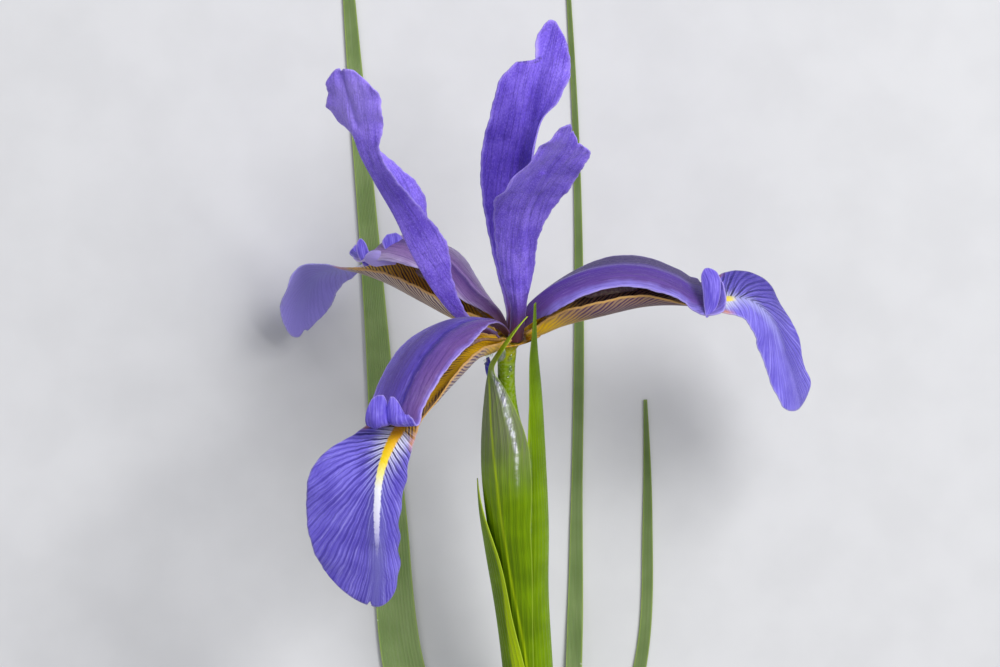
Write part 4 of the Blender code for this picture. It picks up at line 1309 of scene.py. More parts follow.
@dataclass(frozen=True)
class FallLook:
    """What sets one fall's colours apart.

    Where its blade starts along the rib and how far along its colours the signal starts, in
    millimetres; how fast the signal and the pale ground fade, set against the front fall's; how golden
    the haft is inside; and how dark the veins are on the left and the right half.
    """

    starts: float
    tone: float
    fade: float
    paling: float
    gold: float
    bold: tuple[float, float]


FALL_LOOKS = {
    "fall_right": FallLook(44, 7, 8, 2.4, 0, (1, 0.3)), "fall_front": FallLook(46.5, 0, 1, 1, 0.6, (1, 1)),
    "fall_back": FallLook(47, 0, 1.4, 2, 1, (0.45, 0.45)),
}

# How far the large bract's silvery streak, partly papery membrane and partly a painted gloss highlight,
# lies from its margin: millimetres along, and from the edge.
SILVER_GLOSS_LINE = ((58, 66, 72, 77, 81, 85, 89), (3.4, 3.2, 2.9, 2.4, 1.5, 0.8, 0.3))

# Where the light midrib of the large bract runs: millimetres along, and across.
MIDRIB_LINE = ((0, 43, 60, 70, 77, 84, 90), (-6.2, -5.6, -5.4, -4, -2.6, -0.9, 0))

# The turns round the tube at which the right, front and back falls leave it.
FALL_TURNS = (0.16, -2.09, 2.32)

# The falls' and the standards' claws grow wider towards the tube, where they join.
CLAW = ((0, 1), (3, 0.9), (9, 0))
HAFT_CLAW = ((0, 1.8), (3.5, 1.6), (8, 0.6), (14, 0))

# Each style arm's bands of colour from its left margin to its right, and where its crest starts.
STYLE_BANDS = {
    "style_right": (
        (
            (0, tint(104, 94, 142)), (0.05, tint(64, 54, 98)), (0.3, tint(64, 52, 102)),
            (0.46, tint(96, 74, 166)), (0.53, tint(80, 50, 150)), (0.7, tint(86, 56, 144)),
            (0.84, tint(100, 70, 152)), (0.9, tint(120, 104, 192)), (1, tint(144, 132, 228)),
        ),
        50,
    ),
    "style_front": (
        (
            (0, tint(180, 166, 238)), (0.04, tint(134, 112, 204)), (0.12, tint(108, 74, 142)),
            (0.4, tint(98, 70, 150)), (0.49, tint(52, 38, 136)), (0.56, tint(84, 66, 166)),
            (0.8, tint(82, 66, 144)), (1, tint(116, 100, 206)),
        ),
        55,
    ),
    "style_back": (
        (
            (0, tint(206, 188, 230)), (0.12, tint(160, 126, 190)), (0.3, tint(128, 88, 160)),
            (0.48, tint(84, 52, 130)), (0.56, tint(150, 112, 184)), (0.66, tint(134, 94, 166)),
            (0.8, tint(178, 148, 204)), (1, tint(214, 198, 236)),
        ),
        47,
    ),
}

FALL_BLADES = (
    Blade(
        "fall_right", rounding=0.05, rows=170, columns=60, folds=(Fold((42, 0), (64, 0), 1.2, 0.35),),
        ruffles=(Ruffle(Half.LEFT, 50, 80, 9, 0.45, 2.5), Ruffle(Half.RIGHT, 48, 80, 11, 0.35, 2.5, 1)),
        dents=(Spot(74, -1, 1.3, 0.12, 0.9),), shades=(Spot(52, -0.9, 9, 0.6, 0.9),),
        trim_left=((0, 1.8), (5, 2.2), (14, 2.6), (24, 3), (33, 2.8), (39, 1.4), (44.5, 0)),
        trim_right=HAFT_CLAW, wander=0.07,
    ),
    Blade(
        "fall_front", rounding=0.10, rows=180, columns=64, folds=(Fold((44, 0), (72, 0), 1.3, 0.45),),
        ruffles=(Ruffle(Half.RIGHT, 54, 88, 10, 0.5, 3), Ruffle(Half.LEFT, 60, 88, 8, 0.35, 1.8, 2)),
        dents=(Spot(87.9, 0.12, 2, 0.03, 1.2),), trim_left=HAFT_CLAW,
        trim_right=((0, 1.8), (5, 2.6), (10, 2.6), (16, 1.8), (26, 0.8), (36, 0)), wander=0.07,
    ),
    Blade(
        "fall_back", rounding=0.14, rows=160, columns=56,
        ruffles=(Ruffle(Half.RIGHT, 52, 77, 8, 0.6, 2), Ruffle(Half.LEFT, 54, 77, 10, 0.4, 2, 1.5)),
        dents=(Spot(76.6, 0.35, 1.6, 0.12, 1.2),), trim_left=HAFT_CLAW,
        trim_right=((0, 1.8), (5, 2.2), (14, 2.2), (26, 2.4), (36, 2), (42, 0.8), (47, 0)), wander=0.1,
    ),
)

STANDARD_BLADES = (
    Blade(
        "standard_left", rounding=0.06, rows=170, columns=56, folds=(Fold((64, -1), (75.5, 1.4), 1, 0.7),),
        ruffles=(Ruffle(Half.LEFT, 60, 77, 7.5, 0.5, 2), Ruffle(Half.RIGHT, 62, 77, 6.5, 0.5, 2, 1)),
        dents=(Spot(77, 0.28, 1.8, 0.07, 0.8),), trim_left=CLAW,
        trim_right=(*CLAW, (62, 0), (65.5, 0.9), (67, 1), (70, -0.2), (74, 0.5), (77, 0.3)),
        tip=((-1, -1.2), (-0.5, 0.3), (0.1, 0), (0.6, 0.5), (1, -0.3)),
        shades=(
            Spot(46, -0.8, 11, 0.6, 0.6), Spot(13, -0.7, 12, 0.6, 0.6), Spot(70, 0, 9, 1.2, -0.4),
            Spot(34, 0.6, 16, 0.5, -0.2),
        ),
        wander=0.1, pleats=5, pleat_height=0.03,
    ),
    Blade(
        "standard_back", rounding=0.05, rows=170, columns=56, folds=(Fold((34, 0), (69, 0), 1.2, -0.5),),
        ruffles=(Ruffle(Half.LEFT, 40, 60, 9, 0.35, 2.2), Ruffle(Half.RIGHT, 50, 71, 7, 0.4, 1.6, 1.2)),
        dents=(Spot(62.9, -1, 1.5, 0.4, 1.3),),
        shades=(
            Spot(36, -0.7, 17, 0.8, 1), Spot(20, 0.3, 14, 1.4, 0.9), Spot(55, 0.1, 9, 0.2, 0.35),
            Spot(65.2, -0.95, 2.4, 0.3, -0.7), Spot(26, 0, 34, 3, 0.42),
        ),
        trim_left=(
            *CLAW, (55, 0), (59, 0.6), (60.8, 0.8), (61.7, 0.6), (62.2, -1), (62.7, -2.9), (63.2, -3.1),
            (64.2, -1.9), (65.5, -0.9), (68, -0.3),
        ),
        trim_right=CLAW, tip=((-1, -0.6), (-0.3, 0.3), (0.35, 0.3), (1, -1.2)), wander=0.08, pleats=5,
        pleat_height=0.03,
    ),
    Blade(
        "standard_front", rounding=0.02, rows=150, columns=60,
        dents=(Spot(65.5, 0.02, 2.2, 0.05, 1.5), Spot(65.5, -0.45, 1.6, 0.05, 0.7)),
        folds=(Fold((12, -2.2), (50, 0.4), 0.8, -0.5), Fold((44, -1.6), (63, -2.4), 0.8, -0.35)),
        shades=(Spot(60, 0.4, 8, 0.5, -0.2), Spot(18, -0.8, 12, 0.4, 0.4), Spot(46, -0.3, 9, 0.3, 0.3)),
        ruffles=(Ruffle(Half.BOTH, 44, 66, 7, 0.4, 2, 0.6),),
        trim_left=(*CLAW, (48, 0), (55, -1), (60, -0.6), (63.5, -0.2), (65.5, -1)),
        trim_right=(*CLAW, (50, 0), (57, -0.8), (65.5, -1.6)),
        tip=((-1, -4.4), (-0.6, -3.4), (-0.25, -1.4), (0, 0.2), (0.35, 2), (1, 1.4)), wander=0.1, pleats=7,
        pleat_height=0.05,
    ),
)

STYLE_BLADES = (
    Blade(
        "style_right", rounding=0.04, rows=150, folds=(Fold((8, 0), (46, 0), 0.8, 0.25),),
        ruffles=(Ruffle(Half.BOTH, 49, 57, 4, 0.3, 1.6),), swells=(Spot(54, 0.5, 2.4, 0.35, 0.7),),
        trim_right=(
            (0, 0.6), (5, 1.5), (11, 1.3), (20, 0.4), (28, 0), (38, 0), (43, -0.9), (46.5, -1.4), (49, 0.2),
            (50.9, 1), (52.5, -1.6), (56, -1.4),
        ),
        wander=0.05,
    ),
    Blade(
        "style_front", rounding=0.04, rows=170, columns=56,
        folds=(Fold((12, 0), (52, 0), 0.8, -0.3), Fold((58, 0), (66, 0.2), 0.45, 1.1)),
        swells=(Spot(62.5, 0.55, 2.6, 0.3, -1.2), Spot(62.5, -0.42, 2.6, 0.3, -1.2)),
        trim_left=((0, 0), (5, -0.5), (9, -1.5), (14, -1.7), (20, -0.9), (27, 0), (58, 0), (66, -1.4)),
        tip=(
            (-1, -2.6), (-0.8, -1.2), (-0.55, -0.1), (-0.3, 0.5), (-0.12, 0.3), (-0.04, -1.2), (0.02, -1.4),
            (0.08, -0.2), (0.2, 0.6), (0.45, 0.8), (0.7, 0.4), (0.88, -0.6), (1, -2.2),
        ),
        wander=0.06, ruffles=(Ruffle(Half.BOTH, 59, 66, 4, 0.25, 1.2, 0.5),),
    ),
    Blade(
        "style_back", rounding=0.04, rows=150, folds=(Fold((10, 0), (46, 0), 0.8, 0.25),),
        ruffles=(Ruffle(Half.BOTH, 48, 56, 4.5, 0.35, 1.6),),
        trim_left=((20, 0), (30, 1), (44, 1.4), (49, 0.4), (56, -1.4)),
        trim_right=((26, 0), (34, -1.2), (42, -2.4), (48, -2.2), (53, -1)),
        tip=((-1, -2.8), (-0.4, -1), (0, -2.8), (0.3, -5), (1, -6.5)), wander=0.05,
    ),
)

# The small lobes of two of the crests: the arm that each belongs to, how pale it is, and its form.
CREST_LOBES = (
    ("style_right", 0, Blade("crest_right", rounding=0.02, rows=40, columns=28, thickness=0.4)),
    ("style_back", 0, Blade("crest_back_tall", rows=36, columns=20, thickness=0.35)),
    ("style_back", 0, Blade("crest_back_far", rows=36, columns=28, thickness=0.35)),
    ("style_back", 0.75, Blade("crest_back_pale", rows=36, columns=24, thickness=0.35)),
)

BRACT_BLADES = (
    Blade(
        "spathe_main", thickness=0.4, rows=200, columns=80,
        trim_left=(
            (48, 0), (60, 1.2), (68, 1.6), (76, 0.7), (82, 0.2), (86, 0.3), (96, 0.6), (104, 0.4), (108, 0)
        ),
        trim_right=((84, 0), (89, 0.3), (100, 0.3), (108, 0)),
    ),
    Blade("bract_flap", thickness=0.15, margin=0.1, rows=24, columns=16, wander=0.05),
    Blade(
        "spathe_right", thickness=0.4, rows=170,
        trim_right=((0, 2.6), (30, 2.4), (55, 1.6), (72, 0.5), (82, 0)),
    ),
    Blade("spathe_outer", thickness=0.4),
)

# How much narrower the middle leaf is on each side: millimetres along, and across.
LEAF_WAIST = ((60, 0), (90, -0.3), (200, -0.4), (233, -0.1))

LEAF_BLADES = (
    Blade("leaf_left", thickness=0.6, margin=0.3, rows=300, columns=36),
    Blade(
        "leaf_middle", thickness=0.6, margin=0.3, rows=260, columns=28, trim_left=LEAF_WAIST,
        trim_right=LEAF_WAIST,
    ),
    Blade("leaf_right", thickness=0.6, margin=0.3, rows=180, columns=28),
)

# Drops of dew: x, y, z and radius.
DEW = (
    (-0.15, -3.6, 0.8, 0.42), (0, -2.9, 1, 0.28), (-0.15, -5.5, -0.1, 0.42), (-0.05, -6.2, -0.4, 0.36),
    (-0.6, -7.6, -0.9, 0.26), (-4.8, -2.8, -2.9, 0.42), (-5.3, -3.1, -3, 0.34), (-4.3, -2.9, -2.9, 0.34),
    (-5.7, -4.1, -3.2, 0.36), (-5.7, -4.8, -3.6, 0.26),
)


class Loom:
    """A Geometry Nodes tree laid out in the script, whose result is kept as a plain mesh."""

    def __init__(self, name: str, inputs: dict[str, str]) -> None:
        """Start a tree.

        Args:
            name: The tree's name.
            inputs: Its named inputs and their socket kinds.
        """
        self.tree = bpy.data.node_groups.new(name, "GeometryNodeTree")
        face = self.tree.interface
        face.new_socket("Geometry", in_out="INPUT", socket_type="NodeSocketGeometry")
        self.keys = {
            key: face.new_socket(key, in_out="INPUT", socket_type=kind).identifier
            for key, kind in {**inputs, "Material": "NodeSocketMaterial"}.items()
        }
        face.new_socket("Geometry", in_out="OUTPUT", socket_type="NodeSocketGeometry")
        self.opening = self.tree.nodes.new("NodeGroupInput")
        self.ending = self.tree.nodes.new("NodeGroupOutput")

    def take(self, name: str) -> Socket:
        """One of the tree's inputs."""
        return self.opening.outputs[name]

    def node(self, kind: str, inputs: dict[str, object], **settings: object) -> bpy.types.Node:
        """Add a node, set its properties and feed its inputs by name."""
        node = self.tree.nodes.new(kind)
        for name, value in settings.items():
            setattr(node, name, value)
        for name, value in inputs.items():
            target = next(socket for socket in node.inputs if socket.name == name and socket.enabled)
            if isinstance(value, Socket):
                self.tree.links.new(value, target)
            else:
                target.default_value = value
        return node

    def step(self, kind: str, inputs: dict[str, object], **settings: object) -> Socket:
        """Add a node and take the first of its outputs that is in use."""
        return next(socket for socket in self.node(kind, inputs, **settings).outputs if socket.enabled)

    def number(self, name: str) -> Socket:
        """A named number of the geometry."""
        return self.step("GeometryNodeInputNamedAttribute", {"Name": name}, data_type="FLOAT")

    def keep(self, geometry: Socket, name: str, value: Socket) -> Socket:
        """Keep a number on every point."""
        inputs = {"Geometry": geometry, "Name": name, "Value": value}
        return self.step("GeometryNodeStoreNamedAttribute", inputs, data_type="FLOAT", domain="POINT")

    def close(self, geometry: Socket) -> None:
        """End the tree in plain geometry with its material."""
        smooth = self.step("GeometryNodeSetShadeSmooth", {"Geometry": geometry})
        plain = self.step("GeometryNodeRealizeInstances", {"Geometry": smooth})
        done = self.node("GeometryNodeSetMaterial", {"Geometry": plain, "Material": self.take("Material")})
        self.tree.links.new(done.outputs[0], self.ending.inputs[0])

    def run(self, name: str, mesh: Mesh, values: dict[str, object]) -> Object:
        """Run the tree over a mesh.

        Args:
            name: The piece's name.
            mesh: What the tree starts from.
            values: The inputs' values by name.

        Returns:
            A piece with a plain mesh at the origin.
        """
        source = bpy.data.objects.new(name + "_source", mesh)
        bpy.context.scene.collection.objects.link(source)
        step = source.modifiers.new("Loom", "NODES")
        step.node_group = self.tree
        for key, value in values.items():
            step[self.keys[key]] = value
        seen = bpy.context.evaluated_depsgraph_get()
        plain = bpy.data.meshes.new_from_object(
            source.evaluated_get(seen), preserve_all_data_layers=True, depsgraph=seen
        )
        source.modifiers.remove(step)
        bpy.data.objects.remove(source, do_unlink=True)
        plain.name = name
        piece = bpy.data.objects.new(name, plain)
        bpy.context.scene.collection.objects.link(piece)
        return piece


def round_loom() -> Loom:
    """A tree that draws a round piece along a line, as thick as the line's girth says."""
    loom = Loom("round_piece", {"Sides": "NodeSocketInt"})
    rail = loom.step("GeometryNodeMeshToCurve", {"Mesh": loom.opening.outputs[0]})
    rail = loom.step("GeometryNodeSetCurveRadius", {"Curve": rail, "Radius": loom.number("girth")})
    ring = loom.step("GeometryNodeCurvePrimitiveCircle", {"Resolution": loom.take("Sides"), "Radius": 1.0})
    spot = loom.step("GeometryNodeInputPosition", {})
    parts = loom.node("ShaderNodeSeparateXYZ", {"Vector": spot}).outputs
    ring = loom.keep(loom.keep(ring, "turn_x", parts[0]), "turn_y", parts[1])
    drawn = {"Curve": rail, "Profile Curve": ring, "Fill Caps": True}
    node = loom.node("GeometryNodeCurveToMesh", drawn)
    scale = next((socket for socket in node.inputs if socket.name == "Scale"), None)
    if scale is not None:
        loom.tree.links.new(loom.number("girth"), scale)
    loom.close(node.outputs[0])
    return loom


def bead_loom() -> Loom:
    """A tree that sets a bead on every point, as large as the point's girth says."""
    loom = Loom("beads", {"Fineness": "NodeSocketInt"})
    bead = loom.step("GeometryNodeMeshIcoSphere", {"Radius": 1.0, "Subdivisions": loom.take("Fineness")})
    inputs = {"Points": loom.opening.outputs[0], "Instance": bead, "Scale": loom.number("girth")}
    loom.close(loom.step("GeometryNodeInstanceOnPoints", inputs))
    return loom


def pollen_loom() -> Loom:
    """A tree that scatters small grains over a surface."""
    inputs = {"Density": "NodeSocketFloat", "Grain": "NodeSocketFloat", "Seed": "NodeSocketInt"}
    loom = Loom("pollen", inputs)
    spread = {"Mesh": loom.opening.outputs[0], "Density": loom.take("Density"), "Seed": loom.take("Seed")}
    points = loom.step("GeometryNodeDistributePointsOnFaces", spread, distribute_method="RANDOM")
    grain = loom.step("GeometryNodeMeshIcoSphere", {"Radius": loom.take("Grain"), "Subdivisions": 1})
    size = loom.step(
        "FunctionNodeRandomValue", {"Min": 0.6, "Max": 1.2, "Seed": loom.take("Seed")}, data_type="FLOAT"
    )
    inputs = {"Points": points, "Instance": grain, "Scale": size}
    loom.close(loom.step("GeometryNodeInstanceOnPoints", inputs))
    return loom


def line_mesh(name: str, table: tuple[Station, ...], step: float) -> Mesh:
    """A line of points along a round piece's axis, with its girth.

    Args:
        name: The mesh's name.
        table: x, y, z and radius at each station, in millimetres.
        step: How far apart the points lie, in millimetres.

    Returns:
        A mesh of edges with the girth in metres and the share of the length.
    """
    rib = Rib(np.array(table, float))
    t = np.linspace(0.0, 1.0, max(8, round(rib.length / step)))
    value, _ = rib.read(t)
    return chain(name, value[:, :3], {"girth": value[:, 3] * MM, "share": t}, linked=True)


def round_piece(
    name: str, table: tuple[Station, ...], rings: tuple[float, int], skin: Material,
    nodes: tuple[str, ...] = (),
) -> Object:
    """Draw a round piece along its stations and dress it.

    Args:
        name: The piece's name.
        table: x, y, z and radius at each station, in millimetres.
        rings: How far apart its rings lie, in millimetres, and how many sides each has.
        skin: The piece's material.
        nodes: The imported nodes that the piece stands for.

    Returns:
        The dressed piece.
    """
    step, sides = rings
    piece = round_loom().run(name, line_mesh(name, table, step), {"Sides": sides, "Material": skin})
    return dress(piece, skin, nodes)


def chain(name: str, points: Array, marks: dict[str, Array], linked: bool) -> Mesh:
    """A mesh of points, in a row or loose, with numbers on them."""
    mesh = bpy.data.meshes.new(name)
    edges = [(i, i + 1) for i in range(len(points) - 1)] if linked else []
    mesh.from_pydata(((points + FLOWER_BASE) * MM).tolist(), edges, [])
    keep_marks(mesh, marks)
    return mesh


@dataclass(frozen=True)
class Falls:
    """The three falls: channelled hafts that end in veined blades."""

    finish: FallFinish = FallFinish()
    vein_step: float = 1.15
    vein_slope: float = 0.3
    vein_turn: float = 5.4
    soft_midline: float = 0.12
    round_across: float = 1.2
    round_along: float = 0.85
    search: float = 60.0
    halvings: int = 40

    def build(self) -> None:
        """Build and dress the falls."""
        material = self.finish.make()
        for blade in FALL_BLADES:
            sheet = blade.lay()
            look = FALL_LOOKS[blade.name]
            reach = sheet.along - look.starts
            off = np.abs(sheet.across)
            leaves = self.leaving_points(reach, off)
            slope = self.vein_slope * np.exp(leaves / self.vein_turn)
            half = ease(sheet.side, -self.soft_midline, self.soft_midline)
            sheet.marks.update(
                {
                    "reach": reach,
                    "radius": np.hypot(
                        sheet.across * self.round_across, np.maximum(reach, 0.0) * self.round_along
                    ),
                    "fade": reach * look.fade, "paling": reach * look.paling,
                    "gold": np.full_like(reach, look.gold), "tone": reach + look.tone,
                    "bold": look.bold[0] + (look.bold[1] - look.bold[0]) * half,
                    "fan": leaves / self.vein_step,
                    "pitch": self.vein_step * (1.0 + slope * off / self.vein_turn) / np.hypot(1.0, slope),
                },
            )
            dress(blade.solid(sheet), material, (blade.name,))

    def leaving_points(self, reach: Array, off: Array) -> Array:
        """Where the vein through each point leaves the midline.

        Args:
            reach: Millimetres past the blade's start.
            off: Millimetres from the midline.

        Returns:
            Millimetres past the blade's start, on the midline.
        """
        low = np.full_like(reach, -self.search)
        high = np.full_like(reach, self.search)
        for _ in range(self.halvings):
            middle = (low + high) / 2.0
            past = middle + self.vein_slope * off * np.exp(middle / self.vein_turn) > reach
            high = np.where(past, middle, high)
            low = np.where(past, low, middle)
        return (low + high) / 2.0


@dataclass(frozen=True)
class Standards:
    """The three upright petals."""

    finish: StandardFinish = StandardFinish()

    def build(self) -> None:
        """Build and dress the standards."""
        material = self.finish.make()
        for blade in STANDARD_BLADES:
            dress(blade.solid(blade.lay()), material, (blade.name,))


@dataclass(frozen=True)
class StyleArms:
    """The three style arms, each with its own bands and a crest that turns back at its end."""

    past_crest: float = 4.0

    def build(self) -> None:
        """Build and dress the style arms."""
        skins = {}
        for blade in STYLE_BLADES:
            bands, crest_starts = STYLE_BANDS[blade.name]
            skins[blade.name] = StyleFinish(blade.name + "_skin", bands, crest_starts).make()
            dress(blade.solid(blade.lay()), skins[blade.name], (blade.name,))
        for arm, pale, blade in CREST_LOBES:
            sheet = blade.lay()
            sheet.marks["pale"] = np.full_like(sheet.along, pale)
            sheet.along = sheet.along + STYLE_BANDS[arm][1] + self.past_crest
            dress(blade.solid(sheet), skins[arm])


@dataclass(frozen=True)
class Stamens:
    """The stamens under the style arms: thin filaments and long pollen-covered anthers."""

    filament_radius: float = 0.35
    anther_radius: float = 0.7
    anther_swells: tuple[float, ...] = (0.1, 0.3, 0.5, 0.75, 0.92)
    anther_ends: tuple[float, float] = (0.25, 0.2)
    overlap: tuple[float, float] = (0.93, 0.07)
    narrowing: float = 0.7
    thread_rings: tuple[float, int] = (0.5, 16)
    anther_rings: tuple[float, int] = (0.25, 16)
    grain: float = 0.06
    density: float = 5.5e6
    seed: int = 7

    def build(self) -> None:
        """Build and dress the stamens."""
        scatter = pollen_loom()
        thread = RoundFinish(
            "filament_skin",
            ((0.0, tint(200, 150, 30)), (0.4, tint(150, 108, 50)), (1.0, tint(116, 80, 110))),
            tint(104, 64, 70), stripes=5.0,
        ).make()
        sac = RoundFinish(
            "anther_skin",
            ((0.0, tint(122, 92, 104)), (0.5, tint(136, 104, 100)), (1.0, tint(112, 84, 112))),
            tint(76, 48, 72), stripes=4.0, strength=0.5, gloss=0.6,
        ).make()
        pollen = POLLEN.make()
        for name, path in STAMENS.items():
            round_piece(name, self.thread_table(path), self.thread_rings, thread, (name,))
            anther = name.replace("stamen", "anther")
            piece = round_piece(anther, self.anther_table(path), self.anther_rings, sac)
            inputs = {
                "Density": self.density, "Grain": self.grain * MM, "Seed": self.seed, "Material": pollen
            }
            grains = scatter.run(name.replace("stamen", "pollen"), piece.data.copy(), inputs)
            dress(grains, pollen)

    def thread_table(self, path: tuple[Station, ...]) -> tuple[Station, ...]:
        """The filament's stations, up to a little way into the anther."""
        end = np.array(path[-2]) * self.overlap[0] + np.array(path[-1]) * self.overlap[1]
        thread = tuple((*point, self.filament_radius) for point in path[:-1])
        return thread + ((*end, self.filament_radius * self.narrowing),)

    def anther_table(self, path: tuple[Station, ...]) -> tuple[Station, ...]:
        """The anther's stations: a long slim sac with narrow ends."""
        start = np.array(path[-2])
        run = np.array(path[-1]) - start
        swell = tuple((*(start + run * share), self.anther_radius) for share in self.anther_swells)
        return ((*start, self.anther_ends[0]), *swell, (*(start + run), self.anther_ends[1]))


@dataclass(frozen=True)
class Spathe:
    """The bracts round the flower's base, the second bud that shows between them, and dew."""

    rib_strength: float = 0.85
    bud_rings: tuple[float, int] = (0.4, 24)
    fineness: int = 3

    def build(self) -> None:
        """Build and dress the bracts, the bud and the drops."""
        material = BladeGreenFinish(
            "bract_skin", light=tint(128, 164, 0), deep=tint(92, 124, 0), vein=tint(172, 202, 10), ribs=8.0,
            papery=True, contrast=0.09, shine=0.12,
        ).make()
        for blade in BRACT_BLADES:
            sheet = blade.lay()
            sheet.marks.update({name: np.zeros_like(sheet.along) for name in ("dusk", "silver", "midrib")})
            sheet.marks.update(self.markings(blade.name, sheet))
            nodes = () if blade.name == "bract_flap" else (blade.name,)
            dress(blade.solid(sheet), material, nodes)
        self.bud()
        self.dew()

    def markings(self, name: str, sheet: Sheet) -> dict[str, Array]:
        """Where a bract is dusky, silvery with a painted gloss highlight, and yellow along its midrib, in
        millimetres along and across.

        Args:
            name: The bract's name.
            sheet: Its middle surface.

        Returns:
            The marks that aren't 0 all over, by name.
        """
        along = sheet.along
        near_margin = sheet.side < 0
        if name == "spathe_main":
            # The large bract's silvery streak near its margin, partly papery membrane and partly a painted
            # gloss highlight.
            streak = np.interp(along, *SILVER_GLOSS_LINE)
            silver = hump(sheet.edge, streak, 0.3 + 0.3 * ease(along, 62.0, 80.0)) * near_margin
            rib = hump(sheet.across, np.interp(along, *MIDRIB_LINE), 0.28) * (1.0 - ease(along, 84.0, 88.0))
            return {
                "dusk": 0.8 * span(along, (54.0, 76.0), (82.0, 89.0)),
                "silver": 1.2 * silver * span(along, (56.0, 72.0), (88.0, 92.0)),
                "midrib": self.rib_strength * (rib + 0.8 * ease(along, 86.0, 92.0)),
            }
        if name == "spathe_right":
            rim = (1.0 - ease(sheet.edge, 0.25, 0.6)) * (sheet.side > 0)
            return {
                "silver": 0.9 * hump(along, 59.0, 8.0) * hump(sheet.edge, 0.5, 0.35) * (sheet.side > 0),
                "midrib": self.rib_strength * 0.7 * rim * (1.0 - ease(along, 70.0, 84.0)),
            }
        if name == "spathe_outer":
            band = 3.4 - 2.9 * ease(along, 10.0, 48.0)
            return {"midrib": self.rib_strength * (1.0 - ease(sheet.edge, band, band + 0.35)) * near_margin}
        return {"silver": np.full_like(along, 0.75)}

    def bud(self) -> None:
        """The second bud, blue at its tip and green below."""
        skin = RoundFinish(
            "bud_skin",
            (
                (0.0, tint(44, 34, 150)), (0.25, tint(62, 48, 200)), (0.5, tint(70, 60, 170)),
                (0.8, tint(110, 140, 60)),
            ),
            tint(32, 22, 120), stripes=5.0, strength=0.4,
        ).make()
        round_piece("second_bud", SECOND_BUD, self.bud_rings, skin, ("second_bud",))

    def dew(self) -> None:
        """Drops on the tube and on the bracts' tips."""
        water = WATER.make()
        spots = np.array(DEW, float)
        mesh = chain("dew_points", spots[:, :3], {"girth": spots[:, 3] * MM}, linked=False)
        piece = bead_loom().run("dew_drops", mesh, {"Fineness": self.fineness, "Material": water})
        dress(piece, water)


@dataclass(frozen=True)
class Stalk:
    """The stem, the ovary and the perianth tube."""

    tube_rings: tuple[float, int] = (0.5, 40)
    stem_rings: tuple[float, int] = (1.0, 40)

    def build(self) -> None:
        """Build and dress the round green pieces."""
        tube = RoundFinish(
            "tube_skin",
            (
                (0.0, tint(214, 170, 4)), (0.06, tint(186, 176, 0)), (0.12, tint(128, 154, 0)),
                (0.3, tint(130, 162, 4)), (0.5, tint(138, 172, 8)), (1.0, tint(124, 158, 6)),
            ),
            tint(110, 146, 0), stripes=9.0, strength=0.2, gloss=0.3,
        ).make()
        round_piece("ovary_and_tube", TUBE, self.tube_rings, tube, ("ovary_and_tube",))
        bark = RoundFinish(
            "stem_skin", ((0.0, tint(122, 170, 36)), (0.3, tint(104, 150, 40)), (1.0, tint(92, 138, 48))),
            tint(66, 112, 34), stripes=16.0,
        ).make()
        round_piece("stem", STEM, self.stem_rings, bark, ("stem",))
        Cup().build()
        CutEnd().build()


@dataclass(frozen=True)
class Cup:
    """The cup where the petals join the tube, drawn out towards the three falls, in millimetres."""

    rings: int = 22
    steps: int = 96
    start: float = 1.9
    reach: float = 1.7
    lobe: float = 2.9
    lobe_width: float = 0.5
    waves: int = 9
    wave: float = 0.1
    depth: float = 0.7
    rise: float = 1.3
    bend: float = 0.5
    slope: float = 0.2
    shift: float = 0.7
    wall: float = 0.3
    flare: float = 0.05

    def build(self) -> None:
        """Build and dress the cup."""
        turn = np.linspace(0.0, 2.0 * math.pi, self.steps, endpoint=False)[None, :]
        share = np.linspace(0.0, 1.0, self.rings)[:, None]
        lobe = sum(
            hump((turn - toward + math.pi) % (2.0 * math.pi) - math.pi, 0.0, self.lobe_width)
            for toward in FALL_TURNS
        )
        past = share * (self.reach + self.lobe * lobe + self.wave * np.sin(turn * self.waves))
        height = self.rise * (1.0 - np.exp(-past / self.bend)) + self.slope * past - self.depth
        across, up = np.array([1.0, 0.0, 0.0]), np.array([0.0, 0.91, 0.41])
        out = np.cos(turn)[..., None] * across + np.sin(turn)[..., None] * np.cross(up, across)
        inner = (self.start + past)[..., None] * out + height[..., None] * up
        inner = inner - self.shift * (1.0 - share[..., None]) ** 2 * across
        outer = inner - self.wall * up + self.flare * unit(inner)
        index = np.arange(2 * self.rings * self.steps).reshape(2, self.rings, self.steps)
        after = np.roll(index, -1, axis=2)
        faces = np.concatenate(
            [
                quads(index[0, :-1], after[0, :-1], after[0, 1:], index[0, 1:]),
                quads(index[1, :-1], index[1, 1:], after[1, 1:], after[1, :-1]),
                quads(index[0, -1], after[0, -1], after[1, -1], index[1, -1]),
                quads(index[0, 0], index[1, 0], after[1, 0], after[0, 0]),
            ],
        )
        plain = 0.0 * turn + share
        marks = {
            "share": np.concatenate([(0.5 * plain + 0.5).ravel(), (0.4 * plain).ravel()]),
            "turn_x": np.tile((np.cos(turn) + 0.0 * share).ravel(), 2),
            "turn_y": np.tile((np.sin(turn) + 0.0 * share).ravel(), 2),
        }
        skin = RoundFinish(
            "cup_skin",
            (
                (0.0, tint(160, 172, 0)), (0.15, tint(224, 180, 0)), (0.42, tint(214, 168, 4)),
                (0.56, tint(120, 70, 30)), (0.8, tint(196, 144, 6)), (1.0, tint(214, 166, 4)),
            ),
            tint(120, 64, 30), stripes=27.0,
        ).make()
        piece = make_piece("perianth_cup", np.stack([inner, outer]).reshape(-1, 3), faces, marks)
        dress(piece, skin)


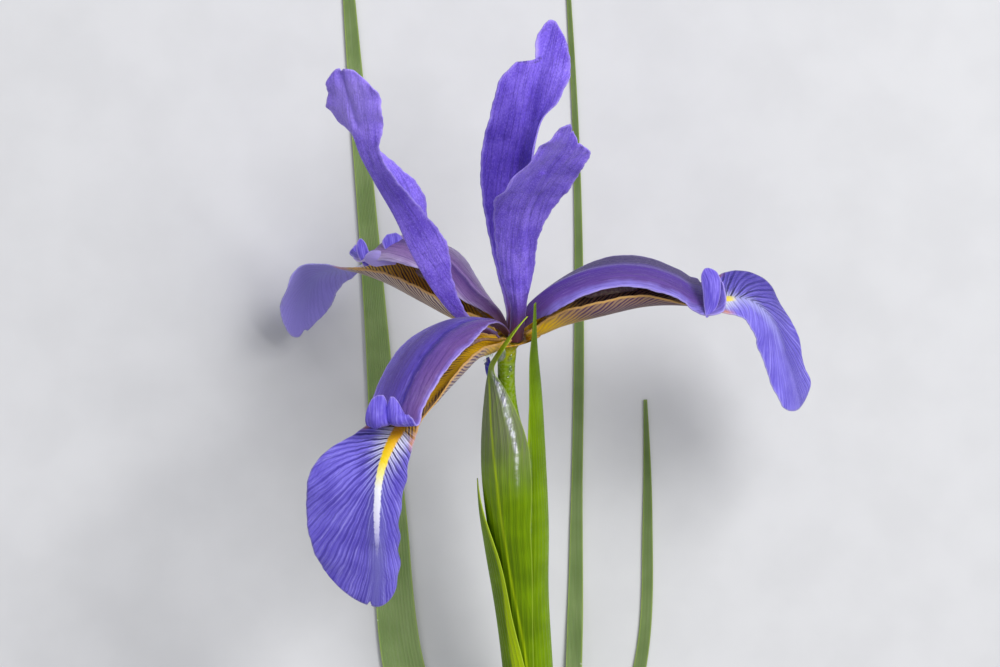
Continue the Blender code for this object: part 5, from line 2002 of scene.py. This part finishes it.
@dataclass(frozen=True)
class CutEnd:
    """The cut end of the stem: a slightly sunken pale face with a ring of darker strands."""

    rings: int = 14
    steps: int = 48
    cover: float = 0.97
    front: float = 0.32
    back: float = 0.4
    middle: float = 0.1
    sunk: float = 0.22
    strands: int = 9
    strand: float = 0.05
    strand_ring: tuple[float, float] = (0.6, 0.9)

    def build(self) -> None:
        """Build and dress the cut face, closed to a point inside the stem."""
        centre, girth = np.array(STEM[-1][:3]), STEM[-1][3]
        turn = np.linspace(0.0, 2.0 * math.pi, self.steps, endpoint=False)
        points = [centre - (0.0, self.middle, 0.0)]
        for reach in np.linspace(0.0, girth * self.cover, self.rings)[1:]:
            share = reach / girth
            on_strands = self.strand_ring[0] < share < self.strand_ring[1]
            sunk = self.sunk * (1.0 - share**4) + self.strand * np.cos(turn * self.strands) * on_strands
            ring = (reach * np.cos(turn), sunk - self.front, reach * np.sin(turn))
            points.extend(centre + np.stack(ring, axis=1))
        points.append(centre + (0.0, self.back, 0.0))
        last = len(points) - 1
        faces = []
        for k in range(self.steps):
            after = (k + 1) % self.steps
            faces.append((0, 1 + k, 1 + after))
            for a in range(1, 1 + (self.rings - 2) * self.steps, self.steps):
                faces.append((a + k, a + self.steps + k, a + self.steps + after, a + after))
            rim = 1 + (self.rings - 2) * self.steps
            faces.append((rim + k, last, rim + after))
        middle = np.array(points) - centre
        marks = {"ring": np.hypot(middle[:, 0], middle[:, 2]) / girth}
        piece = make_piece("cut_end", np.array(points), faces, marks)
        dress(piece, CutFinish().make())


@dataclass(frozen=True)
class CutFinish:
    """The cut through a stem: pale wet pith, strands and a green rind."""

    name: str = "cut_face"

    def make(self) -> Material:
        """Lay out the material."""
        book = Book(self.name)
        place = book.place()
        ring = book.mark("ring")
        cells = book.noise(place, 1800.0, 2.0)
        strand = book.noise(place, 900.0, 1.0)
        colour = book.ramp(
            ring, ((0.0, tint(208, 220, 160)), (0.7, tint(176, 204, 110)), (0.95, tint(104, 150, 40)))
        )
        spots = book.ease(strand, 0.55, 0.62) * book.ease(ring, 0.4, 0.6)
        colour = book.blend(spots * 0.6, colour, tint(120, 150, 60))
        return book.close(colour, cells, (0.25, 0.4), cells, 0.00008)


@dataclass(frozen=True)
class Foliage:
    """The three strap leaves that sheathe the stem and run up past the flower."""

    def build(self) -> None:
        """Build and dress the leaves."""
        material = BladeGreenFinish(
            "leaf_skin", light=tint(147, 171, 106), deep=tint(122, 148, 82), vein=tint(160, 180, 124),
            ribs=6.0, contrast=0.1, bloom=0.25, gloss=0.5,
        ).make()
        for blade in LEAF_BLADES:
            dress(blade.solid(blade.lay()), material, (blade.name,))


@dataclass(frozen=True)
class Studio:
    """A plain pale floor, soft lights and the camera straight above.

    Each light has its name, its place from the flower's base and its size in metres, and its watts.
    """

    floor_size: float = 8.0
    camera_height: float = 2.4
    sensor: float = 36.0
    view_width: float = 0.220
    view_centre: tuple[float, float] = (-2.42, 1.87)
    ambient: float = 0.34
    sky: Colour = (0.93, 0.95, 1.0)
    lights: tuple[tuple[str, Colour, tuple[float, float], float], ...] = (
        ("key", (0.7, 0.6, 1.2), (0.7, 0.7), 20.0), ("fill", (-0.9, -0.3, 1.3), (1.2, 1.2), 3.0),
        ("strip", (0.75, 0.1, 1.35), (0.08, 1.0), 1.6),
    )

    def build(self) -> None:
        """Build the floor, the lights and the camera."""
        self.floor()
        centre = Vector(FLOWER_BASE.tolist()) * MM
        for name, away, size, power in self.lights:
            self.softbox(name, centre, Vector(away), size, power)
        world = bpy.data.worlds.new("room")
        world.use_nodes = True
        sky = world.node_tree.nodes["Background"]
        sky.inputs["Color"].default_value = (*self.sky, 1.0)
        sky.inputs["Strength"].default_value = self.ambient
        bpy.context.scene.world = world
        bpy.context.scene.view_settings.view_transform = "Standard"
        data = bpy.data.cameras.new("camera")
        data.sensor_width = self.sensor
        data.lens = self.sensor * self.camera_height / self.view_width
        camera = bpy.data.objects.new("camera", data)
        camera.location = centre + Vector((*(np.array(self.view_centre) * MM), self.camera_height))
        bpy.context.scene.collection.objects.link(camera)
        bpy.context.scene.camera = camera

    def floor(self) -> None:
        """Lay the floor under the leaves."""
        reach = self.floor_size / 2.0
        mesh = bpy.data.meshes.new("floor")
        corners = [(-reach, -reach, 0.0), (reach, -reach, 0.0), (reach, reach, 0.0), (-reach, reach, 0.0)]
        mesh.from_pydata(corners, [], [(0, 1, 2, 3)])
        mesh.materials.append(FLOOR.make())
        floor = bpy.data.objects.new("floor", mesh)
        bpy.context.scene.collection.objects.link(floor)

    @staticmethod
    def softbox(name: str, centre: Vector, away: Vector, size: tuple[float, float], power: float) -> None:
        """Hang a soft light, so wide and so long, that faces the flower."""
        data = bpy.data.lights.new(name, "AREA")
        data.shape = "RECTANGLE"
        data.size, data.size_y = size
        data.energy = power
        light = bpy.data.objects.new(name, data)
        light.location = centre + away
        light.rotation_euler = (-away).to_track_quat("-Z", "Y").to_euler()
        bpy.context.scene.collection.objects.link(light)


def main() -> None:
    """Build every part of the flower, then the studio."""
    logging.basicConfig(level=logging.INFO, format="%(message)s")
    for assembly in (Falls(), Standards(), StyleArms(), Stamens(), Spathe(), Stalk(), Foliage(), Studio()):
        log.info("%s", type(assembly).__name__)
        assembly.build()


if __name__ == "__main__":
    main()
